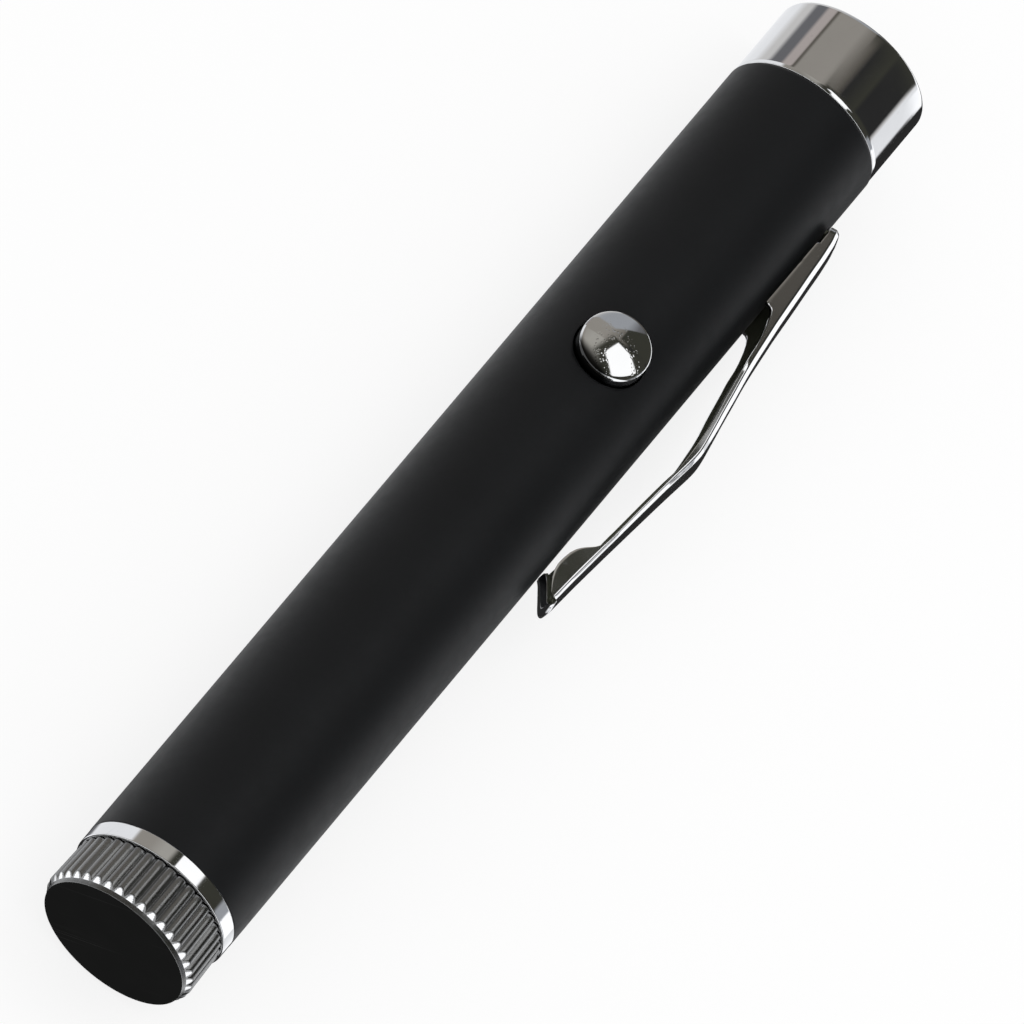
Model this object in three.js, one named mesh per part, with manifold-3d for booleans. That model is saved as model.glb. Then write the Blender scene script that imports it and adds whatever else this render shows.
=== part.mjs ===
// A slim pocket laser pointer with a push button, a pocket clip and a screwed tail cap.
// Millimetres. The pen lies along Y. The origin is the middle of the tail cap's flat end face,
// +Y runs to the beam opening, +Z goes out through the button and +X out through the clip.
// A place along the pen is called a station. The stack of stations starts at the tail face and
// every piece adds its own length, so the barrel is as long as what it holds.
import * as THREE from "three";
import { mergeVertices } from "three/addons/utils/BufferGeometryUtils.js";
import Module from "manifold-3d";

const wasm = await Module();
wasm.setup();

// Counts
const roundSides = 48;
const mediumSides = 24;
const smallSides = 12;
const ribCount = 40;
const ribPoints = 4;
const threadSteps = 24;
const springTurns = 5;
const springSteps = 8;
const springSides = 5;
const arcSteps = 5;

// Clearances
const slipGap = 0.1;
const seatGap = 0.05;
const threadGap = 0.15;
const freeGap = 0.3;
const overrun = 1;

// Cell
const cellRadius = 5.25;
const cellLength = 44.5;
const jacketThickness = 0.1;
const jacketInset = 0.3;
const nubRadius = 1.9;
const nubHeight = 0.85;
const cellGap = 0.25;

// Barrel and liner
const linerWall = 0.8;
const barrelWall = 0.6;
const barrelEdge = 0.3;

// Tail cap
const headLength = 4.75;
const headGap = 0.1;
const headStep = 0.05;
const faceInset = 0.45;
const rimInset = 0.4;
const rimLength = 0.3;
const ribChamfer = 0.8;
const ribDepth = 0.27;
const capFloor = 1.4;
const plugLength = 5;
const plugWall = 0.75;

// Tail collar
const ringLength = 1.42;
const ringEdge = 0.12;
const collarSleeve = 5;
const collarPass = 0.35;

// Screw thread of the cap and collar
const threadPitch = 1;
const threadHeight = 0.35;
const threadFoot = 0.45;
const threadCrest = 0.2;
const threadSink = 0.1;
const plugThreadLength = 3;
const collarThreadLength = 5;
const threadLead = 0.85;

// Tail spring and its contact
const springWire = 0.5;
const springTopShare = 0.65;
const capContactGap = 0.2;
const capContactThickness = 0.4;

// Front contact
const contactHeadRadius = 2.4;
const contactHead = 0.5;
const contactShank = 0.9;
const discThickness = 1;

// Driver board and what it carries
const boardLength = 20.55;
const boardThickness = 1;
const boardGap = 0.7;
const trayWall = 0.6;
const trayInset = 0.4;
const switchSetback = 7.3;
const switchSide = 6;
const switchHeight = 3.1;
const coverThickness = 0.25;
const coverInset = 0.2;
const stemRadius = 1.5;
const stemWell = 1.5;
const trimmerSide = 3;
const trimmerHeight = 1.3;
const trimmerDialRadius = 1.05;
const trimmerDialHeight = 0.35;
const chipLength = 5;
const chipWidth = 4;
const chipHeight = 1.5;
const chipLegLength = 0.7;
const chipLegWidth = 0.5;
const chipLegPitch = 1.27;
const coilSide = 4.5;
const coilHeight = 2;
const coilCorner = 0.9;
const inputCapacitorLength = 1.6;
const inputCapacitorWidth = 3.2;
const inputCapacitorHeight = 1.2;
const outputCapacitorLength = 2;
const outputCapacitorWidth = 3.5;
const outputCapacitorHeight = 1.4;
const outputCapacitorSetback = 4;

// Push button
const buttonRadius = 3;
const buttonGap = 0.15;
const buttonLip = 0.5;
const buttonFlange = 0.5;
const buttonProud = 0.85;
const buttonDome = 0.6;
const buttonTravel = 0.45;
const buttonStop = 0.15;

// Laser module
const moduleGap = 1;
const moduleWall = 0.9;
const rearLip = 0.3;
const diodeHolderLength = 4;
const diodeFlangeThickness = 1.1;
const diodeCanLength = 2.5;
const diodeWindowDepth = 0.3;
const pinRadius = 0.22;
const pinReach = 2.9;
const pinSpread = 1;
const crystalShoulder = 0.3;
const crystalLength = 3;
const expanderThickness = 1.2;
const expanderHollow = 0.35;
const holderLip = 0.4;
const beamSpace = 2.4;
const filterThickness = 0.5;
const lensThickness = 2.4;
const lensCrown = 0.9;
const lensWeb = 3;
const retainerLength = 1.2;
const retainerWall = 0.8;
const frontLip = 0.7;

// Nose collar and window
const noseLength = 7.33;
const noseStep = 0.07;
const noseChamfer = 0.35;
const noseBackChamfer = 0.15;
const noseFrontWall = 3;
const nosePlug = 4.6;
const windowThickness = 0.8;
const beamOpeningRadius = 2;
const beamFlareDepth = 1.1;

// Pocket clip: its height is over the barrel's surface
const clipSetback = 6.27;
const clipLength = 41.95;
const clipHeight = 4.15;
const clipSheet = 0.45;
const clipWidth = 6.2;
const clipSeat = 0.08;
const clipWallDrop = 0.17;
const clipFootWidth = 2.4;
const clipFootLength = 2.4;
const clipFootGap = 0.22;
const clipSlotGap = 0.3;

// Radii of the optics as shares of the radius that they fit in
const diodeFlangeShare = 0.62;
const diodeCanShare = 0.51;
const diodeWindowShare = 0.18;
const crystalSideShare = 0.31;
const expanderShare = 0.355;
const filterShare = 0.485;
const webShare = 0.4;
const lensShare = 0.755;
const windowShare = 0.58;
const beamFlareShare = 0.56;

// Radii, from the cell outwards and from the barrel's bore inwards
const barrelBore = cellRadius + cellGap + linerWall + slipGap;
const barrelRadius = barrelBore + barrelWall;
const sleeveRadius = barrelBore - slipGap;
const collarCrest = cellRadius + collarPass;
const collarBore = collarCrest + threadHeight;
const plugRadius = collarCrest - threadGap;
const plugBore = plugRadius - plugWall;
const headRadius = barrelRadius - headStep;
const noseRadius = barrelRadius - noseStep;
const clipFootTop = Math.sqrt(barrelBore ** 2 - (clipFootWidth / 2) ** 2) - clipFootGap;
const moduleRadius = clipFootTop - clipSheet - slipGap;
const moduleBore = moduleRadius - moduleWall;
const opticsRadius = moduleBore - slipGap;
const noseBore = moduleRadius + slipGap;
const capContactRadius = plugBore - capContactGap;
const springBase = capContactRadius - springWire;
const springTop = springBase * springTopShare;
const diodeFlangeRadius = opticsRadius * diodeFlangeShare;
const diodeCanRadius = opticsRadius * diodeCanShare;
const diodeWindowRadius = opticsRadius * diodeWindowShare;
const crystalSide = opticsRadius * crystalSideShare;
const expanderRadius = opticsRadius * expanderShare;
const filterRadius = opticsRadius * filterShare;
const webRadius = opticsRadius * webShare;
const lensRadius = opticsRadius * lensShare;
const windowRadius = moduleRadius * windowShare;
const beamFlareRadius = moduleRadius * beamFlareShare;

// Stations, from the tail face to the nose
const ringStart = headLength + headGap;
const barrelStart = ringStart + ringLength;
const collarEnd = barrelStart + collarSleeve;
const plugEnd = headLength + plugLength;
const cellStart = plugEnd + freeGap;
const cellEnd = cellStart + cellLength;
const contactStart = cellEnd + freeGap;
const discStart = contactStart + contactHead + seatGap;
const discEnd = discStart + discThickness;
const boardStart = discEnd + boardGap;
const boardEnd = boardStart + boardLength;
const buttonStation = boardStart + switchSetback;
const moduleStart = boardEnd + moduleGap;
const diodeHolderStart = moduleStart + rearLip;
const crystalHolderStart = diodeHolderStart + diodeHolderLength + freeGap;
const crystalStart = crystalHolderStart + crystalShoulder;
const expanderStart = crystalStart + crystalLength + freeGap;
const crystalHolderEnd = expanderStart + expanderThickness + holderLip;
const lensBarrelStart = crystalHolderEnd + beamSpace;
const filterStart = lensBarrelStart + seatGap;
const webStart = filterStart + filterThickness + seatGap;
const lensStart = webStart + lensWeb;
const retainerStart = lensStart + lensThickness + slipGap;
const lensBarrelEnd = retainerStart + retainerLength + slipGap;
const moduleEnd = lensBarrelEnd + frontLip;
const noseWallStart = moduleEnd + seatGap;
const noseEnd = noseWallStart + noseFrontWall;
const barrelEnd = noseEnd - noseLength;
const nosePlugStart = barrelEnd - nosePlug;
const clipRoot = barrelEnd - clipSetback;

// Heights over the pen's axis, from the button's flange down to the board
const buttonFlangeRadius = buttonRadius + buttonLip;
const flangeTop = Math.sqrt(barrelBore ** 2 - buttonFlangeRadius ** 2) - freeGap;
const flangeBottom = flangeTop - buttonFlange;
const coverTop = flangeBottom - buttonTravel - buttonStop;
const switchTop = coverTop - coverThickness - seatGap;
const boardTop = switchTop - switchHeight - seatGap;
const boardBottom = boardTop - boardThickness;
const boardReach = Math.max(Math.abs(boardTop), Math.abs(boardBottom));
const boardHalfWidth = Math.sqrt(sleeveRadius ** 2 - boardReach ** 2) - freeGap;
const partsTop = boardTop + seatGap;
const partsBottom = boardBottom - seatGap;

// Places on the board as shares of its length, and the trimmer's as a share of the room
// between the board's end and the switch
const coilShare = 0.32;
const chipShare = 0.74;
const inputCapacitorShare = 0.09;
const trimmerShare = 0.42;

// The clip's outer face: share of the clip's length from its root, share of its height
const clipBackShares = [
  [0.0, 0.14],
  [0.002, 0.22],
  [0.012, 0.31],
  [0.03, 0.36],
  [0.074, 0.41],
  [0.119, 0.44],
  [0.162, 0.48],
  [0.248, 0.545],
  [0.291, 0.59],
  [0.329, 0.63],
  [0.372, 0.685],
  [0.417, 0.765],
  [0.46, 0.83],
  [0.503, 0.905],
  [0.541, 0.97],
  [0.562, 1.0],
  [0.584, 0.985],
  [0.617, 0.945],
  [0.66, 0.895],
  [0.744, 0.81],
  [0.83, 0.725],
  [0.916, 0.645],
  [0.964, 0.61],
];
// The toe's rounded corner, the sharp corner its inner side is set off from, and its end wall,
// which leans back towards the root as it nears the barrel
const clipToeRoundShares = [
  [0.988, 0.6],
  [0.997, 0.59],
  [1.0, 0.565],
  [0.9985, 0.53],
];
const clipToeCornerShare = [1.0, 0.595];
const clipToeWallShares = [
  [0.991, 0.41],
  [0.967, 0.22],
  [0.942, 0.06],
];
// The side walls' lower edges, from the toe's lobes back to the hook at the root
const clipEdgeShares = [
  [0.93, 0.062],
  [0.916, 0.104],
  [0.883, 0.222],
  [0.86, 0.361],
  [0.844, 0.47],
  [0.825, 0.54],
  [0.744, 0.635],
  [0.66, 0.715],
  [0.584, 0.79],
  [0.56, 0.795],
  [0.541, 0.765],
  [0.503, 0.68],
  [0.46, 0.585],
  [0.417, 0.515],
  [0.372, 0.455],
  [0.329, 0.39],
  [0.291, 0.325],
  [0.262, 0.26],
  [0.245, 0.2],
  [0.236, 0.12],
];
const clipHookShare = 0.232;
const clipStepShare = 0.056;
// The clip seen from outside: share of its length from the root, share of its half width
const clipPlanShares = [
  [0, 0],
  [0, 0.78],
  [0.017, 1],
  [0.36, 1],
  [0.93, 0.56],
  [0.985, 0.53],
  [1, 0.41],
  [1, 0],
];

// A mesh as a solid that can be joined and cut.
function toSolid(geometry) {
  const plain = geometry.clone();
  plain.deleteAttribute("normal");
  plain.deleteAttribute("uv");
  const merged = mergeVertices(plain);
  const mesh = new wasm.Mesh({
    numProp: 3,
    vertProperties: merged.attributes.position.array,
    triVerts: new Uint32Array(merged.index.array),
  });
  return new wasm.Manifold(mesh);
}

// A solid as a flat-shaded mesh.
function toGeometry(solid) {
  const mesh = solid.getMesh();
  const indexed = new THREE.BufferGeometry();
  indexed.setAttribute("position", new THREE.BufferAttribute(mesh.vertProperties, mesh.numProp));
  indexed.setIndex(new THREE.BufferAttribute(mesh.triVerts, 1));
  const flat = indexed.toNonIndexed();
  flat.computeVertexNormals();
  return flat;
}

function joined(first, ...others) {
  return toGeometry(others.reduce((sum, other) => sum.add(toSolid(other)), toSolid(first)));
}

function cutBy(first, ...others) {
  return toGeometry(others.reduce((rest, other) => rest.subtract(toSolid(other)), toSolid(first)));
}

function sharedBy(first, second) {
  return toGeometry(toSolid(first).intersect(toSolid(second)));
}

// A solid of revolution about the pen's axis, from a list of radius and station pairs.
function turned(profile, sides = roundSides) {
  const points = profile.map(([radius, station]) => new THREE.Vector2(radius, station));
  return new THREE.LatheGeometry(points, sides);
}

function disc(radius, start, end, sides = roundSides) {
  return turned([[0, start], [radius, start], [radius, end], [0, end]], sides);
}

function ring(inner, outer, start, end, sides = roundSides) {
  const profile = [[inner, start], [outer, start], [outer, end], [inner, end], [inner, start]];
  return turned(profile, sides);
}

// A solid of revolution about an upright axis through the button: radius and height pairs.
function turnedUpright(profile, station, sides = mediumSides) {
  const geometry = turned(profile, sides);
  geometry.rotateX(Math.PI / 2);
  geometry.translate(0, station, 0);
  return geometry;
}

// A block whose sides follow the axes, from its middle in X and Y and its lowest height.
function block(width, length, height, x, station, bottom) {
  const geometry = new THREE.BoxGeometry(width, length, height);
  geometry.translate(x, station, bottom + height / 2);
  return geometry;
}

// The same mesh with its faces turned round where they point inwards.
function facingOut(geometry) {
  const place = geometry.attributes.position;
  const index = geometry.index.array;
  const corner = [new THREE.Vector3(), new THREE.Vector3(), new THREE.Vector3()];
  let volume = 0;
  for (let i = 0; i < index.length; i += corner.length) {
    corner.forEach((point, k) => point.fromBufferAttribute(place, index[i + k]));
    volume += corner[0].dot(corner[1].clone().cross(corner[2]));
  }
  if (volume < 0) {
    geometry.setIndex([...index].reverse());
  }
  geometry.computeVertexNormals();
  return geometry;
}

function middleOf(points) {
  const sum = points.reduce((total, point) => total.add(point), new THREE.Vector3());
  return sum.divideScalar(points.length);
}

// A closed solid through rings that have as many points each, with a fan over both ends.
function lofted(rings) {
  const sides = rings[0].length;
  const last = rings[rings.length - 1];
  const points = [...rings.flat(), middleOf(rings[0]), middleOf(last)];
  const index = [];
  for (let r = 0; r < rings.length - 1; r++) {
    for (let side = 0; side < sides; side++) {
      const a = r * sides + side;
      const b = r * sides + ((side + 1) % sides);
      index.push(a, b, b + sides, a, b + sides, a + sides);
    }
  }
  const lastStart = (rings.length - 1) * sides;
  const firstMiddle = rings.length * sides;
  for (let side = 0; side < sides; side++) {
    const next = (side + 1) % sides;
    index.push(firstMiddle, next, side);
    index.push(firstMiddle + 1, lastStart + side, lastStart + next);
  }
  const geometry = new THREE.BufferGeometry().setFromPoints(points);
  geometry.setIndex(index);
  return facingOut(geometry);
}

// A point at a radius and a turn about the pen's axis; a turn of zero is over the axis, at +Z.
function around(radius, station, angle) {
  return new THREE.Vector3(radius * Math.sin(angle), station, radius * Math.cos(angle));
}

// A helical ridge: a trapezoid carried round the axis, its foot sunk into the wall it stands on.
function threadRidge(wallRadius, crestRadius, start, length) {
  const outward = Math.sign(crestRadius - wallRadius);
  const footRadius = wallRadius - outward * threadSink;
  const section = [
    [footRadius, -threadFoot / 2],
    [footRadius, threadFoot / 2],
    [crestRadius, threadCrest / 2],
    [crestRadius, -threadCrest / 2],
  ];
  const steps = Math.round((length / threadPitch) * threadSteps);
  const rings = [];
  for (let step = 0; step <= steps; step++) {
    const angle = (2 * Math.PI * step) / threadSteps;
    const station = start + (threadPitch * step) / threadSteps;
    rings.push(section.map(([radius, offset]) => around(radius, station + offset, angle)));
  }
  return lofted(rings);
}

// The distance from the pen's axis to the ribbed side at a point of a rib.
function ribRadius(point) {
  const phase = (2 * Math.PI * point) / ribPoints;
  const heightShare = Math.sqrt((1 + Math.cos(phase)) / 2);
  return headRadius - ribDepth * (1 - heightShare);
}

function ribbedHead() {
  const count = ribCount * ribPoints;
  const plain = (radius) => () => radius;
  const levels = [
    [0, plain(headRadius - faceInset)],
    [rimLength, plain(headRadius - rimInset)],
    [rimLength + ribChamfer, ribRadius],
    [headLength, ribRadius],
  ];
  const rings = levels.map(([station, radiusAt]) =>
    Array.from({ length: count }, (_, i) => {
      return around(radiusAt(i % ribPoints), station, (2 * Math.PI * i) / count);
    }),
  );
  return lofted(rings);
}

function tailCap() {
  const plug = disc(plugRadius, capFloor, plugEnd);
  const thread = threadRidge(
    plugRadius,
    plugRadius + threadHeight,
    ringStart + threadLead + threadFoot / 2,
    plugThreadLength,
  );
  const hollow = disc(plugBore, capFloor, plugEnd + overrun);
  return cutBy(joined(ribbedHead(), plug, thread), hollow);
}

function tailCollar() {
  const shell = turned([
    [collarBore, ringStart],
    [barrelRadius - ringEdge, ringStart],
    [barrelRadius, ringStart + ringEdge],
    [barrelRadius, barrelStart],
    [sleeveRadius, barrelStart],
    [sleeveRadius, collarEnd],
    [collarBore, collarEnd],
    [collarBore, ringStart],
  ]);
  const thread = threadRidge(
    collarBore,
    collarCrest,
    ringStart + threadLead + threadFoot / 2 - threadPitch / 2,
    collarThreadLength,
  );
  return joined(shell, thread);
}

function barrelTube() {
  const shell = turned([
    [barrelBore, barrelStart],
    [barrelRadius, barrelStart],
    [barrelRadius, barrelEnd - barrelEdge],
    [barrelRadius - barrelEdge, barrelEnd],
    [barrelBore, barrelEnd],
    [barrelBore, barrelStart],
  ]);
  const holeRadius = buttonRadius + buttonGap;
  const holeTop = barrelRadius + overrun;
  const buttonHole = turnedUpright(
    [[0, 0], [holeRadius, 0], [holeRadius, holeTop], [0, holeTop]],
    buttonStation,
  );
  const slotLength = clipSheet + 2 * clipSlotGap;
  const slotDepth = barrelWall + 2 * overrun;
  const clipSlot = block(
    slotDepth,
    slotLength,
    clipFootWidth + 2 * clipSlotGap,
    barrelBore + slotDepth / 2 - overrun,
    clipRoot - clipSheet / 2,
    -clipFootWidth / 2 - clipSlotGap,
  );
  return cutBy(shell, buttonHole, clipSlot);
}

// The wire's middle line: a cone-shaped helix that stands on the cap's contact.
function springPlace(turn) {
  const share = turn / springTurns;
  const start = capFloor + seatGap + capContactThickness + springWire / 2 + seatGap;
  const end = cellStart - freeGap - springWire / 2;
  const radius = springBase + (springTop - springBase) * share;
  return around(radius, start + (end - start) * share, 2 * Math.PI * turn);
}

function tailSpring() {
  const steps = springTurns * springSteps;
  const line = Array.from({ length: steps + 1 }, (_, i) => springPlace(i / springSteps));
  const upright = new THREE.Vector3(0, 1, 0);
  const rings = line.map((middle, i) => {
    const before = line[Math.max(i - 1, 0)];
    const after = line[Math.min(i + 1, steps)];
    const along = after.clone().sub(before).normalize();
    const outward = along.clone().cross(upright).normalize();
    const across = outward.clone().cross(along);
    return Array.from({ length: springSides }, (_, k) => {
      const angle = (2 * Math.PI * k) / springSides;
      const offset = outward.clone().multiplyScalar((Math.cos(angle) * springWire) / 2);
      offset.addScaledVector(across, (Math.sin(angle) * springWire) / 2);
      return offset.add(middle);
    });
  });
  reportSpringGap(rings);
  return lofted(rings);
}

// Prints the least distance between points of the wire that lie a curl or more apart.
function reportSpringGap(rings) {
  let least = Infinity;
  rings.forEach((first, i) => {
    rings.slice(i + springSteps - 1).forEach((second) => {
      first.forEach((a) => {
        second.forEach((b) => {
          least = Math.min(least, a.distanceTo(b));
        });
      });
    });
  });
  console.log("tail spring: least gap between curls " + least.toFixed(2) + " mm");
}

function cellCan() {
  return disc(cellRadius - jacketThickness - seatGap, cellStart, cellEnd - nubHeight - seatGap);
}

function cellJacket() {
  const inner = cellRadius - jacketThickness;
  return ring(inner, cellRadius, cellStart + jacketInset, cellEnd - nubHeight - jacketInset);
}

function cellNub() {
  return disc(nubRadius, cellEnd - nubHeight, cellEnd, mediumSides);
}

function positiveContact() {
  const tail = boardStart - seatGap;
  return turned(
    [
      [0, contactStart],
      [contactHeadRadius, contactStart],
      [contactHeadRadius, contactStart + contactHead],
      [contactShank, contactStart + contactHead],
      [contactShank, tail],
      [0, tail],
    ],
    mediumSides,
  );
}

function boardTray() {
  const start = discEnd + seatGap;
  const end = moduleStart - trayInset;
  const shell = ring(sleeveRadius - trayWall, sleeveRadius, start, end);
  const upperHalf = block(
    2 * barrelRadius,
    end - start + 2 * overrun,
    2 * barrelRadius,
    0,
    (start + end) / 2,
    partsBottom,
  );
  return cutBy(shell, upperHalf);
}

function driverBoard() {
  const station = (boardStart + boardEnd) / 2;
  return block(2 * boardHalfWidth, boardLength, boardThickness, 0, station, boardBottom);
}

function switchBody() {
  const box = block(switchSide, switchSide, switchHeight, 0, buttonStation, partsTop);
  const wellRadius = stemRadius + slipGap;
  const wellTop = switchTop + overrun;
  const wellBottom = switchTop - stemWell;
  const well = turnedUpright(
    [[0, wellBottom], [wellRadius, wellBottom], [wellRadius, wellTop], [0, wellTop]],
    buttonStation,
  );
  return cutBy(box, well);
}

function switchCover() {
  const side = switchSide - coverInset;
  const bottom = switchTop + seatGap;
  const plate = block(side, side, coverThickness, 0, buttonStation, bottom);
  const holeRadius = stemRadius + 2 * slipGap;
  const top = coverTop + overrun;
  const hole = turnedUpright([[0, 0], [holeRadius, 0], [holeRadius, top], [0, top]], buttonStation);
  return cutBy(plate, hole);
}

function switchStem() {
  const top = flangeBottom - seatGap;
  const bottom = switchTop - stemWell + buttonTravel + slipGap;
  const profile = [[0, bottom], [stemRadius, bottom], [stemRadius, top], [0, top]];
  return turnedUpright(profile, buttonStation);
}

function buttonCap() {
  const shoulder = barrelRadius + buttonProud;
  const dome = Array.from({ length: arcSteps + 1 }, (_, i) => {
    const angle = (Math.PI / 2) * (i / arcSteps);
    return [buttonRadius * Math.cos(angle), shoulder + buttonDome * Math.sin(angle)];
  });
  dome[arcSteps][0] = 0;
  const profile = [
    [0, flangeBottom],
    [buttonFlangeRadius, flangeBottom],
    [buttonFlangeRadius, flangeTop],
    [buttonRadius, flangeTop],
    ...dome,
  ];
  return turnedUpright(profile, buttonStation);
}

function trimmer() {
  const room = switchSetback - switchSide / 2;
  const station = boardStart + room * trimmerShare;
  const box = block(trimmerSide, trimmerSide, trimmerHeight, 0, station, partsTop);
  const low = partsTop + trimmerHeight / 2;
  const high = partsTop + trimmerHeight + trimmerDialHeight;
  const dial = turnedUpright(
    [[0, low], [trimmerDialRadius, low], [trimmerDialRadius, high], [0, high]],
    station,
    smallSides,
  );
  return joined(box, dial);
}

function driverChip() {
  const station = boardStart + boardLength * chipShare;
  const pieces = [block(chipWidth, chipLength, chipHeight, 0, station, partsBottom - chipHeight)];
  const legHeight = chipHeight / 2;
  const legsPerSide = Math.floor(chipLength / chipLegPitch);
  for (const side of [-1, 1]) {
    for (let leg = 0; leg < legsPerSide; leg++) {
      const place = station + (leg - (legsPerSide - 1) / 2) * chipLegPitch;
      const x = (side * chipWidth) / 2;
      const bottom = partsBottom - legHeight;
      pieces.push(block(2 * chipLegLength, chipLegWidth, legHeight, x, place, bottom));
    }
  }
  return joined(...pieces);
}

function inductor() {
  const station = boardStart + boardLength * coilShare;
  const half = coilSide / 2;
  const inner = half - coilCorner;
  const outline = [
    [half, -inner],
    [half, inner],
    [inner, half],
    [-inner, half],
    [-half, inner],
    [-half, -inner],
    [-inner, -half],
    [inner, -half],
  ];
  const shape = new THREE.Shape(outline.map(([x, y]) => new THREE.Vector2(x, y)));
  const geometry = new THREE.ExtrudeGeometry(shape, { depth: coilHeight, bevelEnabled: false });
  geometry.translate(0, station, partsBottom - coilHeight);
  return geometry;
}

function inputCapacitor() {
  const station = boardStart + boardLength * inputCapacitorShare;
  const bottom = partsBottom - inputCapacitorHeight;
  const length = inputCapacitorLength;
  return block(inputCapacitorWidth, length, inputCapacitorHeight, 0, station, bottom);
}

function outputCapacitor() {
  const station = boardEnd - outputCapacitorSetback;
  const length = outputCapacitorLength;
  return block(outputCapacitorWidth, length, outputCapacitorHeight, 0, station, partsTop);
}

function moduleHousing() {
  return ring(moduleBore, moduleRadius, moduleStart, moduleEnd);
}

function diodeHolder() {
  const end = diodeHolderStart + diodeHolderLength;
  const seat = diodeHolderStart + diodeFlangeThickness + 2 * seatGap;
  const seatRadius = diodeFlangeRadius + slipGap;
  const canBore = diodeCanRadius + slipGap;
  return turned([
    [seatRadius, diodeHolderStart],
    [opticsRadius, diodeHolderStart],
    [opticsRadius, end],
    [canBore, end],
    [canBore, seat],
    [seatRadius, seat],
    [seatRadius, diodeHolderStart],
  ]);
}

function pumpDiode() {
  const start = diodeHolderStart + seatGap;
  const shoulder = start + diodeFlangeThickness;
  const end = shoulder + diodeCanLength;
  const can = turned(
    [
      [0, start],
      [diodeFlangeRadius, start],
      [diodeFlangeRadius, shoulder],
      [diodeCanRadius, shoulder],
      [diodeCanRadius, end],
      [diodeWindowRadius, end],
      [diodeWindowRadius, end - diodeWindowDepth],
      [0, end - diodeWindowDepth],
    ],
    mediumSides,
  );
  const pinHeight = pinRadius + seatGap;
  const places = [
    [-pinSpread, boardTop + pinHeight],
    [pinSpread, boardTop + pinHeight],
    [0, boardBottom - pinHeight],
  ];
  const pins = places.map(([x, z]) => {
    const pin = disc(pinRadius, start - pinReach, start + seatGap, smallSides);
    pin.translate(x, 0, z);
    return pin;
  });
  return joined(can, ...pins);
}

function crystalHolder() {
  const boreRadius = (crystalSide / 2) * Math.SQRT2 + slipGap;
  const lensSeat = expanderRadius + slipGap;
  const lensFace = expanderStart - slipGap;
  return turned([
    [boreRadius, crystalHolderStart],
    [opticsRadius, crystalHolderStart],
    [opticsRadius, crystalHolderEnd],
    [lensSeat, crystalHolderEnd],
    [lensSeat, lensFace],
    [boreRadius, lensFace],
    [boreRadius, crystalHolderStart],
  ]);
}

function laserCrystal() {
  const station = crystalStart + crystalLength / 2;
  return block(crystalSide, crystalLength, crystalSide, 0, station, -crystalSide / 2);
}

// A round lens whose front face swells or sinks by a depth, as an arc from its edge to its middle.
function lens(radius, start, thickness, depth) {
  const edge = start + thickness - Math.max(depth, 0);
  const face = Array.from({ length: arcSteps + 1 }, (_, i) => {
    const share = 1 - i / arcSteps;
    return [radius * share, edge + depth * (1 - share ** 2)];
  });
  return turned([[0, start], [radius, start], ...face], mediumSides);
}

function lensBarrel() {
  const filterSeat = filterRadius + slipGap;
  const lensSeat = lensRadius + slipGap;
  return turned([
    [filterSeat, lensBarrelStart],
    [opticsRadius, lensBarrelStart],
    [opticsRadius, lensBarrelEnd],
    [lensSeat, lensBarrelEnd],
    [lensSeat, lensStart - seatGap],
    [webRadius, lensStart - seatGap],
    [webRadius, webStart],
    [filterSeat, webStart],
    [filterSeat, lensBarrelStart],
  ]);
}

function lensRetainer() {
  const end = retainerStart + retainerLength;
  return ring(lensRadius - retainerWall, lensRadius, retainerStart, end, mediumSides);
}

function noseCollar() {
  const windowSeat = windowRadius + slipGap;
  const windowStop = noseWallStart + windowThickness + 2 * seatGap;
  return turned([
    [noseBore, nosePlugStart],
    [sleeveRadius, nosePlugStart],
    [sleeveRadius, barrelEnd],
    [noseRadius - noseBackChamfer, barrelEnd],
    [noseRadius, barrelEnd + noseBackChamfer],
    [noseRadius, noseEnd - noseChamfer],
    [noseRadius - noseChamfer, noseEnd],
    [beamFlareRadius, noseEnd],
    [beamOpeningRadius, noseEnd - beamFlareDepth],
    [beamOpeningRadius, windowStop],
    [windowSeat, windowStop],
    [windowSeat, noseWallStart],
    [noseBore, noseWallStart],
    [noseBore, nosePlugStart],
  ]);
}

function outputWindow() {
  const start = noseWallStart + seatGap;
  return disc(windowRadius, start, start + windowThickness, mediumSides);
}

// A place on the clip's side view from its share of the clip's length and height.
function clipPoint([alongShare, heightShare]) {
  const x = barrelRadius + clipHeight * heightShare;
  return new THREE.Vector2(x, clipRoot - clipLength * alongShare);
}

// The same line moved inwards, square to each of its straight runs.
function inset(points, distance) {
  const runs = points.slice(1).map((point, i) => point.clone().sub(points[i]).normalize());
  return points.map((point, i) => {
    const before = runs[Math.max(i - 1, 0)];
    const after = runs[Math.min(i, runs.length - 1)];
    const along = before.clone().add(after).normalize();
    const reach = distance / along.dot(after);
    return new THREE.Vector2(point.x + along.y * reach, point.y - along.x * reach);
  });
}

// A side-view outline as a slab across the clip's whole width.
function sideSlab(points) {
  const depth = clipWidth + 2 * overrun;
  const geometry = new THREE.ExtrudeGeometry(new THREE.Shape(points), {
    depth,
    bevelEnabled: false,
  });
  geometry.translate(0, 0, -depth / 2);
  return geometry;
}

// The clip's outline seen from outside, moved in by a margin, as a slab through its whole height.
function planSlab(margin) {
  const half = clipPlanShares.map(([alongShare, widthShare]) => {
    return new THREE.Vector2((clipWidth / 2) * widthShare, clipRoot - clipLength * alongShare);
  });
  const right = inset(half, margin);
  const left = right.slice(1, -1).map((point) => new THREE.Vector2(-point.x, point.y));
  const depth = 2 * (barrelRadius + clipHeight + overrun);
  const shape = new THREE.Shape([...right, ...left.reverse()]);
  const geometry = new THREE.ExtrudeGeometry(shape, { depth, bevelEnabled: false });
  geometry.rotateY(Math.PI / 2);
  return geometry;
}

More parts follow.
